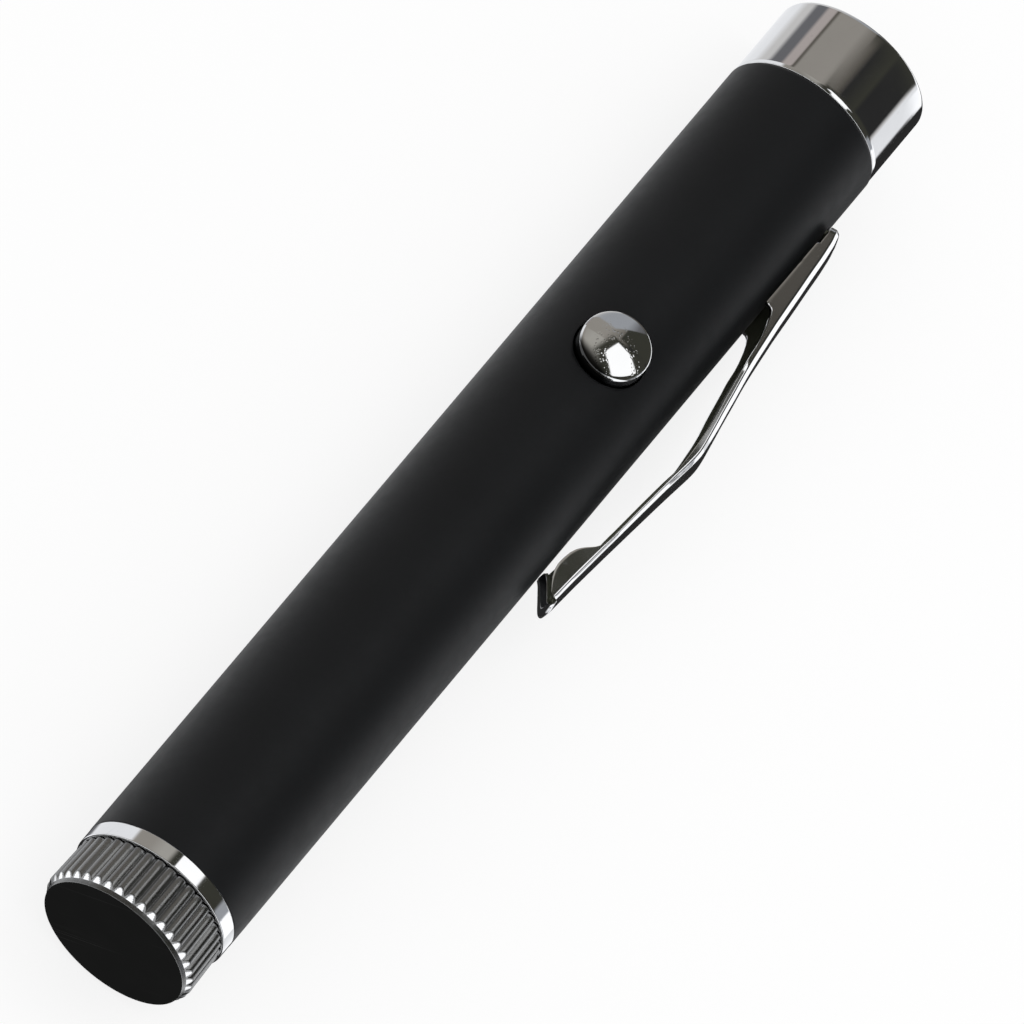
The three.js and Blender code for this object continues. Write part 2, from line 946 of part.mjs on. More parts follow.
function pocketClip() {
  const back = clipBackShares.map(clipPoint);
  const toeRound = clipToeRoundShares.map(clipPoint);
  const toeWall = clipToeWallShares.map(clipPoint);
  const edge = clipEdgeShares.map(clipPoint);
  const endFace = new THREE.Vector2(barrelRadius + clipSeat, clipRoot);
  const wallEdge = barrelRadius - clipWallDrop;
  const hook = clipRoot - clipLength * clipHookShare;
  const step = clipRoot - clipLength * clipStepShare;
  const outline = [
    endFace,
    ...back,
    ...toeRound,
    ...toeWall,
    ...edge,
    new THREE.Vector2(wallEdge, hook),
    new THREE.Vector2(wallEdge, step),
    new THREE.Vector2(barrelRadius + clipSeat, step),
  ];
  const skin = inset([endFace, ...back, clipPoint(clipToeCornerShare), ...toeWall], clipSheet);
  const floor = barrelRadius - clipHeight;
  const hollow = [
    ...skin,
    new THREE.Vector2(floor, skin[skin.length - 1].y),
    new THREE.Vector2(floor, skin[0].y),
  ];
  const channel = cutBy(
    sharedBy(sideSlab(outline), planSlab(0)),
    sharedBy(sideSlab(hollow), planSlab(clipSheet)),
  );
  const tongueTop = barrelRadius + clipSeat + clipSheet;
  const footBottom = clipFootTop - clipSheet;
  const tongue = block(
    tongueTop - footBottom,
    clipSheet,
    clipFootWidth,
    (tongueTop + footBottom) / 2,
    clipRoot - clipSheet / 2,
    -clipFootWidth / 2,
  );
  const foot = block(
    clipSheet,
    clipFootLength,
    clipFootWidth,
    footBottom + clipSheet / 2,
    clipRoot - clipFootLength / 2,
    -clipFootWidth / 2,
  );
  return joined(channel, tongue, foot);
}

// Finishes: colour, roughness and metalness
const finishes = {
  blackPaint: [0x1f2123, 0.62, 0],
  chrome: [0xc9ccd1, 0.12, 1],
  springSteel: [0x9c9fa3, 0.35, 1],
  brass: [0xb08d4f, 0.35, 1],
  cellSteel: [0xb9bbbe, 0.4, 1],
  cellBody: [0xb9bbbe, 0.4, 1],
  cellWrap: [0x3d5b74, 0.45, 0],
  whiteFibre: [0xdcd8cc, 0.8, 0],
  boardGreen: [0x1e5a3a, 0.5, 0],
  blackPlastic: [0x17181a, 0.5, 0],
  ferrite: [0x3a3b3e, 0.7, 0],
  ceramic: [0xb79a72, 0.55, 0],
  aluminium: [0xa4a7ab, 0.4, 1],
  crystal: [0xb8dcc8, 0.05, 0],
  glass: [0xe6f1f2, 0.05, 0],
  filterGlass: [0x7fb7c4, 0.05, 0],
};

function finished(name, geometry, finish) {
  const [color, roughness, metalness] = finishes[finish];
  const material = new THREE.MeshStandardMaterial({ color, roughness, metalness });
  material.name = finish;
  const mesh = new THREE.Mesh(geometry, material);
  mesh.name = name;
  return mesh;
}

function groupOf(...meshes) {
  const group = new THREE.Group();
  group.add(...meshes);
  return group;
}

const capContactStart = capFloor + seatGap;
const linerStart = collarEnd + slipGap;
const linerEnd = discStart - slipGap;

const tailEnd = groupOf(
  finished("tail_cap", tailCap(), "chrome"),
  finished(
    "cap_contact",
    disc(capContactRadius, capContactStart, capContactStart + capContactThickness, mediumSides),
    "brass",
  ),
  finished("tail_spring", tailSpring(), "springSteel"),
);

const barrel = groupOf(
  finished("barrel_tube", barrelTube(), "blackPaint"),
  finished("tail_collar", tailCollar(), "chrome"),
  finished("nose_collar", noseCollar(), "chrome"),
  finished("pocket_clip", pocketClip(), "chrome"),
  finished(
    "battery_liner",
    ring(cellRadius + cellGap, sleeveRadius, linerStart, linerEnd),
    "whiteFibre",
  ),
);

const cell = groupOf(
  finished("battery_can", cellCan(), "cellBody"),
  finished("battery_jacket", cellJacket(), "cellWrap"),
  finished("battery_nub", cellNub(), "cellSteel"),
);

const driver = groupOf(
  finished("contact_disc", ring(contactShank + slipGap, sleeveRadius, discStart, discEnd), "whiteFibre"),
  finished("positive_contact", positiveContact(), "brass"),
  finished("board_tray", boardTray(), "whiteFibre"),
  finished("driver_board", driverBoard(), "boardGreen"),
  finished("switch_body", switchBody(), "blackPlastic"),
  finished("switch_cover", switchCover(), "cellSteel"),
  finished("switch_stem", switchStem(), "blackPlastic"),
  finished("button_cap", buttonCap(), "chrome"),
  finished("trimmer", trimmer(), "aluminium"),
  finished("driver_chip", driverChip(), "blackPlastic"),
  finished("inductor", inductor(), "ferrite"),
  finished("input_capacitor", inputCapacitor(), "ceramic"),
  finished("output_capacitor", outputCapacitor(), "ceramic"),
);

const laserModule = groupOf(
  finished("module_housing", moduleHousing(), "brass"),
  finished("diode_holder", diodeHolder(), "brass"),
  finished("pump_diode", pumpDiode(), "cellSteel"),
  finished("crystal_holder", crystalHolder(), "brass"),
  finished("laser_crystal", laserCrystal(), "crystal"),
  finished(
    "expander_lens",
    lens(expanderRadius, expanderStart, expanderThickness, -expanderHollow),
    "glass",
  ),
  finished("lens_barrel", lensBarrel(), "aluminium"),
  finished(
    "infrared_filter",
    disc(filterRadius, filterStart, filterStart + filterThickness, mediumSides),
    "filterGlass",
  ),
  finished("collimating_lens", lens(lensRadius, lensStart, lensThickness, lensCrown), "glass"),
  finished("lens_retainer", lensRetainer(), "brass"),
  finished("output_window", outputWindow(), "glass"),
);

console.log(
  "length " + noseEnd.toFixed(2) + ", barrel " + barrelStart.toFixed(2) + " to " +
    barrelEnd.toFixed(2) + ", button at " + buttonStation.toFixed(2),
);

export default groupOf(tailEnd, barrel, cell, driver, laserModule);
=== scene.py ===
"""Looks of the slim laser pointer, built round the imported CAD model.

The pen lies along Y with its tail face at the origin, its button up along Z and its clip along X.
Sizes in the classes are millimetres; a mesh is turned into metres when it is made.
"""

import sys
import logging
import math
from dataclasses import dataclass
from enum import Enum
from typing import Callable, Sequence

import bmesh
import bpy
import numpy as np
from mathutils import Matrix, Vector


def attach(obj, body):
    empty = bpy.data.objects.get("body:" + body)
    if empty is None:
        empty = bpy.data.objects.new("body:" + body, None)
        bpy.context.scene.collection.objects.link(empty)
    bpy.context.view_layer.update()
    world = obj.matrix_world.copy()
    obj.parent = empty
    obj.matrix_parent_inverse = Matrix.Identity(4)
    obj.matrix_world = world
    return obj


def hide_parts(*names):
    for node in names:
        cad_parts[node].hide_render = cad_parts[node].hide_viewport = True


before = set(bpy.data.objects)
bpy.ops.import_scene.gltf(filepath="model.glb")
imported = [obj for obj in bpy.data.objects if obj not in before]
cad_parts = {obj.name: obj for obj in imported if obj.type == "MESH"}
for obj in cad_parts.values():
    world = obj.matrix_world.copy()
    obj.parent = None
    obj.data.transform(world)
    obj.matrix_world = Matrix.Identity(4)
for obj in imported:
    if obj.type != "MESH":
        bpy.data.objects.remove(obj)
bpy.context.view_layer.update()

MM = 0.001
RIGHT_ANGLE = math.pi / 2
TURN = 2 * math.pi
THREAD_PITCH = 1.0
THREAD_FOOT = 0.45
THREAD_SINK = 0.12
Array = np.ndarray
Socket = bpy.types.NodeSocket
Pair = tuple[float, float]
Triple = tuple[float, float, float]
Line = tuple[Pair, ...]

log = logging.getLogger("pointer")


class Axis(Enum):
    """The line that a round piece is turned about, as the order of its coordinates."""

    ALONG = [0, 1, 2]
    UPRIGHT = [0, 2, 1]


class Body(Enum):
    """The CAD bodies that pieces ride on."""

    BARREL = "barrel"
    BUTTON = "button"
    CLIP = "clip"
    CONTACT = "tail_contact"
    CAP = "cap"


# Meshes


def around(radius: Array, station: Array, angle: Array) -> Array:
    """Points on a round surface along the pen; the three values are stretched to one shape."""
    across, up = radius * np.sin(angle), radius * np.cos(angle)
    return np.stack(np.broadcast_arrays(across, station, up), -1)


def unit(ways: Array) -> Array:
    """Ways brought to the length of one."""
    return ways / np.linalg.norm(ways, axis=-1, keepdims=True)


def curved(start: Array, corner: Array, end: Array, steps: int) -> Array:
    """Points on a quadratic curve that leaves start towards the corner and comes in to end."""
    share = np.linspace(0, 1, steps).reshape(-1, *[1] * start.ndim)
    return (1 - share) ** 2 * start + 2 * share * (1 - share) * corner + share**2 * end


def grid_faces(rows: int, columns: int, wrap: bool = True) -> Array:
    """Quads between neighbouring rows and columns of a grid of points.

    Args:
        rows: how many rows the grid has.
        columns: how many points a row has.
        wrap: whether the last column meets the first.

    Returns:
        One row of four point numbers per quad.
    """
    row, column = np.indices((rows - 1, columns if wrap else columns - 1))
    here, side = row * columns + column, row * columns + (column + 1) % columns
    return np.stack([here, side, side + columns, here + columns], axis=-1).reshape(-1, 4)


@dataclass
class Shell:
    """A mesh in the making: points in millimetres, faces as rows of four point numbers.

    A triangle repeats one of its numbers. Faces past the end of the slots take the first slot.
    """

    points: Array
    faces: Array
    slots: Sequence[int] = ()

    def joined(self, other: "Shell") -> "Shell":
        """Both shells as one, the other one's points and faces after this one's."""
        faces = np.concatenate([self.faces, other.faces + len(self.points)])
        return Shell(np.concatenate([self.points, other.points]), faces, self.slots)

    def outward(self) -> "Shell":
        """The closed shell facing out: its faces are turned round where its volume is negative.

        The volume is a sum over the tetrahedra from the origin to each half of a face.

        Returns:
            This shell.
        """
        a, b, c, d = (self.points[column] for column in self.faces.T)
        if np.sum(a * np.cross(b - d, c)) < 0:
            self.faces = self.faces[:, ::-1].copy()
        return self


def swept(rings: Array, close: bool = False) -> Shell:
    """A closed skin over a stack of rings: back to its first ring, or with a fan at each end.

    Args:
        rings: points as ring, point on the ring, coordinate.
        close: whether the last ring meets the first.

    Returns:
        The closed shell, facing out.
    """
    count, columns, _ = rings.shape
    points = rings.reshape(-1, 3)
    faces = grid_faces(count + close, columns) % len(points)
    if close:
        return Shell(points, faces).outward()
    here = np.arange(columns)
    side, last = (here + 1) % columns, len(points) - columns
    near = np.full(columns, len(points))
    fans = [[side, here, near, near], [here + last, side + last, near + 1, near + 1]]
    points = np.concatenate([points, rings[[0, -1]].mean(1)])
    return Shell(points, np.concatenate([faces, *np.stack(fans).transpose(0, 2, 1)])).outward()


def rounded(corners: Sequence[Triple], steps: int = 4) -> Array:
    """An outline whose corners are eased.

    A curve touches both runs at the radius over the tangent of half their angle. A point just
    before and just after it keeps the shading of the runs flat.

    Args:
        corners: the closed outline's corners as radius, station and corner radius.
        steps: how many pieces a curve has.

    Returns:
        The outline's points.
    """
    keep, straight = 0.03, RIGHT_ANGLE - 0.02
    made: list[Array] = []
    places = np.array(corners, float)[:, :2]
    for i, (_, _, radius) in enumerate(corners):
        here = places[i]
        back, on = places[i - 1] - here, places[(i + 1) % len(places)] - here
        back_length, on_length = np.hypot(*back), np.hypot(*on)
        back, on = back / back_length, on / on_length
        half = math.acos(float(np.clip(back @ on, -1, 1))) / 2
        if radius <= 0 or half > straight:
            made.append(here[None])
            continue
        reach = min(radius / math.tan(half), 0.45 * back_length, 0.45 * on_length)
        start, end = here + back * reach, here + on * reach
        curve = curved(start, here, end, steps + 1)
        made += [start[None] + back * keep, curve, end[None] + on * keep]
    return np.concatenate(made)


def turned(outline: Array, sides: int, axis: Axis = Axis.ALONG) -> Shell:
    """A closed solid of revolution: each outline point carried round the axis on its radius.

    Args:
        outline: a closed outline as radius and station pairs. It may touch the axis.
        sides: how many steps go round.
        axis: along the pen, or upright, where the station is a height.

    Returns:
        The closed shell, facing out.
    """
    angle = np.linspace(0, TURN, sides, endpoint=False)
    return swept(around(outline[:, :1], outline[:, 1:], angle)[..., axis.value], close=True)


def helix_ridge(wall: float, crest: float, start: float, turns: int) -> Shell:
    """A screw ridge: a rounded section carried round the axis while it climbs.

    The section is a bell, so height is the square of a cosine across the foot. Both ends fade
    into the wall over a quarter of a turn.

    Args:
        wall: the radius of the wall that carries the ridge.
        crest: the radius of the ridge's top.
        start: the station where the ridge begins.
        turns: how many turns it makes.

    Returns:
        The closed shell.
    """
    turn = np.linspace(0, turns, 72 * turns + 1)[:, None]
    across = np.linspace(-0.5, 0.5, 9)
    fade = np.clip(np.minimum(turn, turns - turn) * 4, 0.02, 1)
    sink = math.copysign(THREAD_SINK, crest - wall)
    top = wall - sink + (crest - wall + sink) * np.cos(across * math.pi) ** 2 * fade
    radius = np.concatenate([top, 0 * turn + wall - 3 * sink], 1)
    station = start + THREAD_PITCH * turn + THREAD_FOOT * np.append(across, 0)
    return swept(around(radius, station, TURN * turn))


def slab(size: Triple, place: Triple, edge: float = 0.08) -> Shell:
    """A block with rounded upright corners and softened top and bottom edges.

    Each ring is a rectangle with a quarter circle at each corner, drawn in where it nears the
    top or the bottom.

    Args:
        size: the sizes along X, Y and Z.
        place: the middle in X and Y and the lowest height.
        edge: the radius of corners and edges.

    Returns:
        The closed shell.
    """
    arc = np.linspace(0, RIGHT_ANGLE, 4)
    quarter = np.stack([np.cos(arc), np.sin(arc)], -1)
    signs = np.repeat([[1, 1], [-1, 1], [-1, -1], [1, -1]], 4, axis=0)
    half = np.array(size[:2]) / 2 - edge
    flat = signs * (half + edge * np.concatenate([quarter, quarter[::-1]] * 2))
    fall = np.array([1.0, 0.3, 0.0, 0.0, 0.3, 1.0])[:, None, None] * edge
    top = size[2]
    level = np.array([0, 0.3 * edge, edge, top - edge, top - 0.3 * edge, top])
    level = np.broadcast_to(level[:, None, None], (6, 16, 1))
    return swept(np.concatenate([flat - fall * signs, level], -1) + np.array(place))


def linked(name: str, data: bpy.types.ID) -> bpy.types.Object:
    """Puts a mesh, a lamp or a camera into the scene.

    Args:
        name: the object's name.
        data: what it shows.

    Returns:
        The object.
    """
    made = bpy.data.objects.new(name, data)
    bpy.context.scene.collection.objects.link(made)
    return made


def stage_piece(
    name: str, points: Array, faces: Array, material: bpy.types.Material
) -> bpy.types.Object:
    """Makes a thing of the stage, which is no part of the pen.

    Args:
        name: its name.
        points: its points in metres.
        faces: its faces.
        material: its material.

    Returns:
        The object.
    """
    mesh = bpy.data.meshes.new(name)
    mesh.from_pydata(points.reshape(-1, 3).tolist(), [], faces.tolist())
    mesh.materials.append(material)
    return linked(name, mesh)


def make_piece(
    name: str, shell: Shell, body: Body, *finishes: "Finish", node: str = "", slot: str = ""
) -> bpy.types.Object:
    """Puts a shell into Blender as a piece that rides on a CAD body.

    Args:
        name: the piece's name.
        shell: its mesh in millimetres.
        body: the body that carries it.
        finishes: one finish per material slot of the mesh.
        node: the CAD node that it stands for.
        slot: the record's material slot; not used.

    Returns:
        The Blender object, at the origin.
    """
    mesh = bpy.data.meshes.new(name)
    faces = [list(dict.fromkeys(row)) for row in shell.faces.tolist()]
    mesh.from_pydata((shell.points * MM).tolist(), [], faces)
    for finish in finishes:
        mesh.materials.append(finish.material())
    slots = np.zeros(len(faces), np.int32)
    slots[: len(shell.slots)] = shell.slots
    mesh.polygons.foreach_set("material_index", slots)
    if mesh.validate():
        log.info("%s: Blender mended its mesh", name)
    mesh.update()
    mesh.shade_smooth()
    piece = linked(name, mesh)
    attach(piece, body.value)
    if node:
        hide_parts(node)
    log.info("%s: %d points, %d faces, on %s", name, len(shell.points), len(faces), body.value)
    return piece


# Finishes


class Nodes:
    """A short way to fill the node tree of a material or of the world."""

    def __init__(self, owner: bpy.types.ID) -> None:
        """Turns the owner's nodes on and clears them.

        Args:
            owner: the material or the world.
        """
        owner.use_nodes = True
        self.tree = owner.node_tree
        self.tree.nodes.clear()

    def add(
        self, kind: str, inputs: dict[str | int, object], output: str | int = 0, **settings: object
    ) -> Socket | None:
        """Adds a node.

        Args:
            kind: the node's type without its leading word.
            inputs: what its inputs take, by name or number: another node's socket or a value.
            output: the output that is wanted.
            settings: properties of the node.

        Returns:
            The output socket, or nothing where the node has none.
        """
        node = self.tree.nodes.new("ShaderNode" + kind)
        for key, value in settings.items():
            setattr(node, key, value)
        for key, value in inputs.items():
            socket = node.inputs[key]
            if isinstance(value, Socket):
                self.tree.links.new(value, socket)
            else:
                socket.default_value = (*value, 1.0) if socket.type == "RGBA" else value
        return node.outputs[output] if node.outputs else None

    def math(self, operation: str, *values: object) -> Socket:
        """A Math node's result."""
        return self.add("Math", dict(enumerate(values)), operation=operation)

    def times(self, product: object, *others: object) -> Socket:
        """The product of all the values."""
        for other in others:
            product = self.math("MULTIPLY", product, other)
        return product

    def between(self, value: Socket, low: float, high: float) -> Socket:
        """How far a value lies from one limit to the other, smoothly, from 0 to 1."""
        inputs = {"Value": value, "From Min": low, "From Max": high}
        return self.add("MapRange", inputs, interpolation_type="SMOOTHSTEP")

    def spread(self, value: Socket, low: float, high: float) -> Socket:
        """A value from 0 to 1 spread over a new range."""
        return self.add("MapRange", {"Value": value, "To Min": low, "To Max": high})

    def mixed(self, share: object, first: object, second: object) -> Socket:
        """A mix of two colours; the share is how much of the second one shows."""
        return self.add("Mix", {0: share, 6: first, 7: second}, 2, data_type="RGBA")

    def place(self, stretch: Triple = (1, 1, 1), turn: Triple | None = None) -> Socket:
        """Object coordinates, turned and then stretched.

        Args:
            stretch: the scale of each axis.
            turn: the turns about X, Y and Z in radians, if any.

        Returns:
            The vector socket.
        """
        where = self.add("TexCoord", {}, "Object")
        if turn:
            where = self.add("Mapping", {"Vector": where, "Rotation": turn})
        return self.add("Mapping", {"Vector": where, "Scale": stretch})

    def noise(self, where: Socket, scale: float, detail: float = 3.0) -> Socket:
        """A noise pattern from 0 to 1: its grains to the metre, and how many finer layers."""
        return self.add("TexNoise", {"Vector": where, "Scale": scale, "Detail": detail})

    def bump(self, height: Socket, distance: float, strength: float, **over: Socket) -> Socket:
        """The normal of a height pattern in metres; Normal names a bump that it lies over."""
        inputs = {"Height": height, "Distance": distance, "Strength": strength}
        return self.add("Bump", inputs | over)

    def surface(self, **values: object) -> None:
        """Joins the main shader to the output; its inputs have underscores for spaces."""
        inputs = {key.replace("_", " "): value for key, value in values.items()}
        self.add("OutputMaterial", {0: self.add("BsdfPrincipled", inputs)})


@dataclass(frozen=True)
class Finish:
    """A material of the pen: its name, its main colour as linear light, and its roughness."""

    name: str
    color: Triple
    roughness: float = 0.5

    def material(self) -> bpy.types.Material:
        """The Blender material, made once.

        Returns:
            The material.
        """
        made = bpy.data.materials.get(self.name)
        if made is None:
            made = bpy.data.materials.new(self.name)
            self.build(Nodes(made))
        return made

    def build(self, nodes: Nodes) -> None:
        """Fills the node tree, each finish in its own way."""
        raise NotImplementedError

    def tinted(self, amount: float) -> Triple:
        """The colour, lighter or darker."""
        return tuple(min(1.0, channel * amount) for channel in self.color)

    def toned(self, nodes: Nodes, pattern: Socket, low: float, high: float) -> Socket:
        """The colour between a darker and a lighter tint, by a pattern."""
        return nodes.mixed(pattern, self.tinted(low), self.tinted(high))

    def gloss(self, nodes: Nodes, pattern: Socket, less: float, more: float) -> Socket:
        """The roughness, so much less or more, by a pattern."""
        return nodes.spread(pattern, self.roughness - less, self.roughness + more)


@dataclass(frozen=True)
class SoftPaint(Finish):
    """Matte paint with a fine powder grain, a little uneven in tone and gloss."""

    grain: float = 14000.0
    grain_height: float = 0.000012
    flecks: Pair = (0.62, 0.78)

    def build(self, nodes: Nodes) -> None:
        """Tone from slow noise, gloss from quicker noise and a bump of fine grain.

        Args:
            nodes: the tree.
        """
        where = nodes.place()
        color = self.toned(nodes, nodes.noise(where, 160.0), 0.82, 1.2)
        speck = nodes.noise(where, self.grain, 2.0)
        fine = nodes.bump(speck, self.grain_height, 0.5)
        nodes.surface(
            Base_Color=nodes.mixed(nodes.between(speck, *self.flecks), color, self.tinted(1.9)),
            Roughness=self.gloss(nodes, nodes.noise(where, 900.0), 0.06, 0.08),
            Normal=nodes.bump(nodes.noise(where, 3200.0), 0.00001, 0.25, Normal=fine),
            Specular_IOR_Level=0.22,
            Sheen_Weight=0.06,
            Sheen_Roughness=0.35,
        )


@dataclass(frozen=True)
class Plating(Finish):
    """Polished bright plating with handling haze, hairline scratches and rare pits."""

    roughness: float = 0.04
    haze: float = 0.05
    scratches: float = 0.35
    wave: float = 0.0000012

    def build(self, nodes: Nodes) -> None:
        """Haze drives the gloss; stretched noise, thresholded, cuts the scratches.

        Args:
            nodes: the tree.
        """
        where = nodes.place()
        cloud = nodes.noise(where, 420.0, 4.0)
        lines = nodes.noise(nodes.place((1800, 90, 1800), (0.0, 0.3, 0.35)), 1.0, 2.0)
        other = nodes.noise(nodes.place((70, 2400, 2400), (0.2, 0.0, -0.5)), 1.0, 2.0)
        lines, other = nodes.between(lines, 0.69, 0.74), nodes.between(other, 0.7, 0.75)
        pits = nodes.between(nodes.noise(where, 2600.0, 1.0), 0.76, 0.8)
        marks = nodes.math("MAXIMUM", nodes.math("MAXIMUM", lines, other), pits)
        gloss = self.gloss(nodes, cloud, 0.0, self.haze)
        color = self.toned(nodes, cloud, 0.95, 1.04)
        wear = nodes.times(marks, 0.35 * self.scratches)
        wavy = nodes.bump(nodes.noise(where, 260.0, 1.0), self.wave * 6, 0.6)
        nodes.surface(
            Base_Color=nodes.mixed(wear, color, self.tinted(0.55)),
            Metallic=1.0,
            Roughness=nodes.math("MULTIPLY_ADD", marks, 0.12 * self.scratches, gloss),
            Normal=nodes.bump(marks, self.wave, self.scratches, Normal=wavy),
        )


@dataclass(frozen=True)
class PittedPlating(Plating):
    """Bright plating over a casting: a polished oval on top, small sparkling pits round it."""

    pit_scale: float = 4600.0
    pit_depth: float = 0.000007
    oval: Pair = (0.00115, 0.0631)
    oval_size: Pair = (0.00168, 0.00092)
    oval_turn: float = -0.665
    # A painted dark reflection on the side towards the tail: where it begins and ends along a
    # bearing, and that bearing.
    painted_dark_side: Pair = (0.0019, 0.0026)
    painted_dark_turn: float = 3.438
    button_station: float = 0.0644

    def build(self, nodes: Nodes) -> None:
        """Bowls at the hearts of random cells, in a ring round the oval where a slow noise lets
        them. The side towards the tail is darkened in colour: a painted dark reflection.

        Args:
            nodes: the tree.
        """
        where = nodes.place()
        cloud = nodes.noise(where, 420.0, 4.0)
        x, y, _ = nodes.add("SeparateXYZ", {0: where}).node.outputs
        along = nodes.math("SUBTRACT", y, self.button_station)
        along = nodes.times(along, math.cos(self.painted_dark_turn))
        along = nodes.math("MULTIPLY_ADD", x, math.sin(self.painted_dark_turn), along)
        color = self.toned(nodes, cloud, 0.94, 1.03)
        # Painted dark reflection: the colour falls to six hundredths of itself on the side towards
        # the tail.
        color = nodes.mixed(nodes.between(along, *self.painted_dark_side), color, self.tinted(0.06))
        x, y = (nodes.math("SUBTRACT", *pair) for pair in zip((x, y), self.oval))
        # The oval's own axes: the turned place over the half size, squared and summed.
        cosine, sine = math.cos(self.oval_turn), math.sin(self.oval_turn)
        total: object = 0.0
        for first, second, size in zip((cosine, -sine), (sine, cosine), self.oval_size):
            way = nodes.math("MULTIPLY_ADD", x, first / size, nodes.times(y, second / size))
            total = nodes.math("MULTIPLY_ADD", way, way, total)
        ring = nodes.times(nodes.between(total, 1.0, 1.1), nodes.between(total, 5.5, 3.6))
        cells = nodes.add("TexVoronoi", {"Vector": where, "Scale": self.pit_scale}, "Distance")
        some = nodes.between(nodes.noise(where, 900.0, 2.0), 0.4, 0.5)
        pits = nodes.times(nodes.between(cells, 0.45, 0.05), some, ring)
        nodes.surface(
            Base_Color=color,
            Metallic=1.0,
            Roughness=self.gloss(nodes, cloud, 0.0, self.haze),
            Normal=nodes.bump(nodes.math("SUBTRACT", 1.0, pits), self.pit_depth, 1.0),
        )


@dataclass(frozen=True)
class LinedPlating(Plating):
    """Polished plating with long hairline scratches that all run one way across a flat face."""

    line_turn: Triple = (0.0, 0.696, 0.0)
    line_light: float = 6.0

    def build(self, nodes: Nodes) -> None:
        """Hairlines are noise drawn out along one way, kept where a slower noise lets them.

        Args:
            nodes: the tree.
        """
        color = self.toned(nodes, nodes.noise(nodes.place(), 300.0, 4.0), 0.85, 1.15)
        fine = nodes.noise(nodes.place((30, 30, 5200), self.line_turn), 1.0, 1.0)
        broad = nodes.noise(nodes.place((60, 60, 700), self.line_turn), 1.0, 2.0)
        lines = nodes.times(nodes.between(fine, 0.6, 0.68), nodes.between(broad, 0.5, 0.62))
        nodes.surface(
            Base_Color=nodes.mixed(nodes.times(lines, 0.3), color, self.tinted(self.line_light)),
            Metallic=1.0,
            Roughness=self.gloss(nodes, lines, 0.0, 0.25),
            Normal=nodes.bump(lines, self.wave, self.scratches),
        )


@dataclass(frozen=True)
class TurnedMetal(Finish):
    """Metal from a lathe: fine rings round the pen's axis with a dull sheen."""

    ring_scale: float = 5200.0
    tarnish: Triple = (0.25, 0.16, 0.08)
    tarnish_share: float = 0.3

    def build(self, nodes: Nodes) -> None:
        """Rings come from noise that changes along Y and hardly across it.

        Args:
            nodes: the tree.
        """
        rings = nodes.noise(nodes.place((60, self.ring_scale, 60)), 1.0, 2.0)
        cloud = nodes.noise(nodes.place(), 330.0, 5.0)
        color = self.toned(nodes, rings, 0.86, 1.06)
        dull = nodes.times(nodes.between(cloud, 0.5, 0.75), self.tarnish_share)
        nodes.surface(
            Base_Color=nodes.mixed(dull, color, self.tarnish),
            Metallic=1.0,
            Roughness=self.gloss(nodes, rings, 0.07, 0.12),
            Normal=nodes.bump(rings, 0.000008, 0.4),
        )


@dataclass(frozen=True)
class Moulding(Finish):
    """Moulded plastic, fibre or fired ceramic: fine grain, small tone changes."""

    grain: float = 6000.0
    grain_height: float = 0.00001
    mottle: float = 0.12

    def build(self, nodes: Nodes) -> None:
        """Tone from mottled noise and a bump from the grain.

        Args:
            nodes: the tree.
        """
        where = nodes.place()
        mottle, grain = nodes.noise(where, 700.0, 5.0), nodes.noise(where, self.grain)
        nodes.surface(
            Base_Color=self.toned(nodes, mottle, 1 - self.mottle, 1 + self.mottle),
            Roughness=self.gloss(nodes, grain, 0.08, 0.1),
            Normal=nodes.bump(grain, self.grain_height, 0.4),
        )


@dataclass(frozen=True)
class Film(Finish):
    """Thin shrink film round the cell, with faint lengthwise wrinkles and a glossy face."""

    def build(self, nodes: Nodes) -> None:
        """Wrinkles are noise drawn out along Y.

        Args:
            nodes: the tree.
        """
        wrinkles = nodes.noise(nodes.place((1500, 80, 1500)), 1.0, 3.0)
        nodes.surface(
            Base_Color=self.toned(nodes, wrinkles, 0.8, 1.15),
            Roughness=self.roughness,
            Normal=nodes.bump(wrinkles, 0.00003, 0.3),
            Coat_Weight=0.5,
            Coat_Roughness=0.08,
        )


@dataclass(frozen=True)
class SolderMask(Finish):
    """Circuit board: green mask over straight copper tracks, with bare tinned pads."""

    track: Triple = (0.06, 0.2, 0.1)
    pad: Triple = (0.62, 0.6, 0.55)

    def build(self, nodes: Nodes) -> None:
        """Tracks are the joints of a brick pattern; pads are the hearts of square cells.

        Args:
            nodes: the tree.
        """
        where = nodes.place()
        joints = {"Vector": where, "Scale": 260.0, "Mortar Size": 0.035}
        tracks = nodes.add("TexBrick", joints, "Fac", offset=0.37)
        squares = {"Vector": where, "Scale": 420.0, "Randomness": 0.2}
        cells = nodes.add("TexVoronoi", squares, "Distance", distance="CHEBYCHEV")
        pads = nodes.math("SUBTRACT", 1.0, nodes.between(cells, 0.13, 0.15))
        nodes.surface(
            Base_Color=nodes.mixed(pads, nodes.mixed(tracks, self.color, self.track), self.pad),
            Metallic=pads,
            Roughness=self.roughness,
            Normal=nodes.bump(tracks, 0.00003, 0.4),
            Coat_Weight=0.3,
        )


@dataclass(frozen=True)
class Glass(Finish):
    """Clear or tinted glass with a trace of dust and a coated bloom."""

    index: float = 1.5
    bloom: float = 0.0

    def build(self, nodes: Nodes) -> None:
        """Dust roughens the face in small spots.

        Args:
            nodes: the tree.
        """
        dust = nodes.between(nodes.noise(nodes.place(), 2400.0, 2.0), 0.66, 0.8)
        nodes.surface(
            Base_Color=nodes.mixed(dust, self.color, self.tinted(0.9)),
            Roughness=nodes.spread(dust, self.roughness, 0.12),
            Transmission_Weight=1.0,
            IOR=self.index,
            Coat_Weight=self.bloom,
            Coat_Tint=(0.55, 0.45, 0.9),
        )


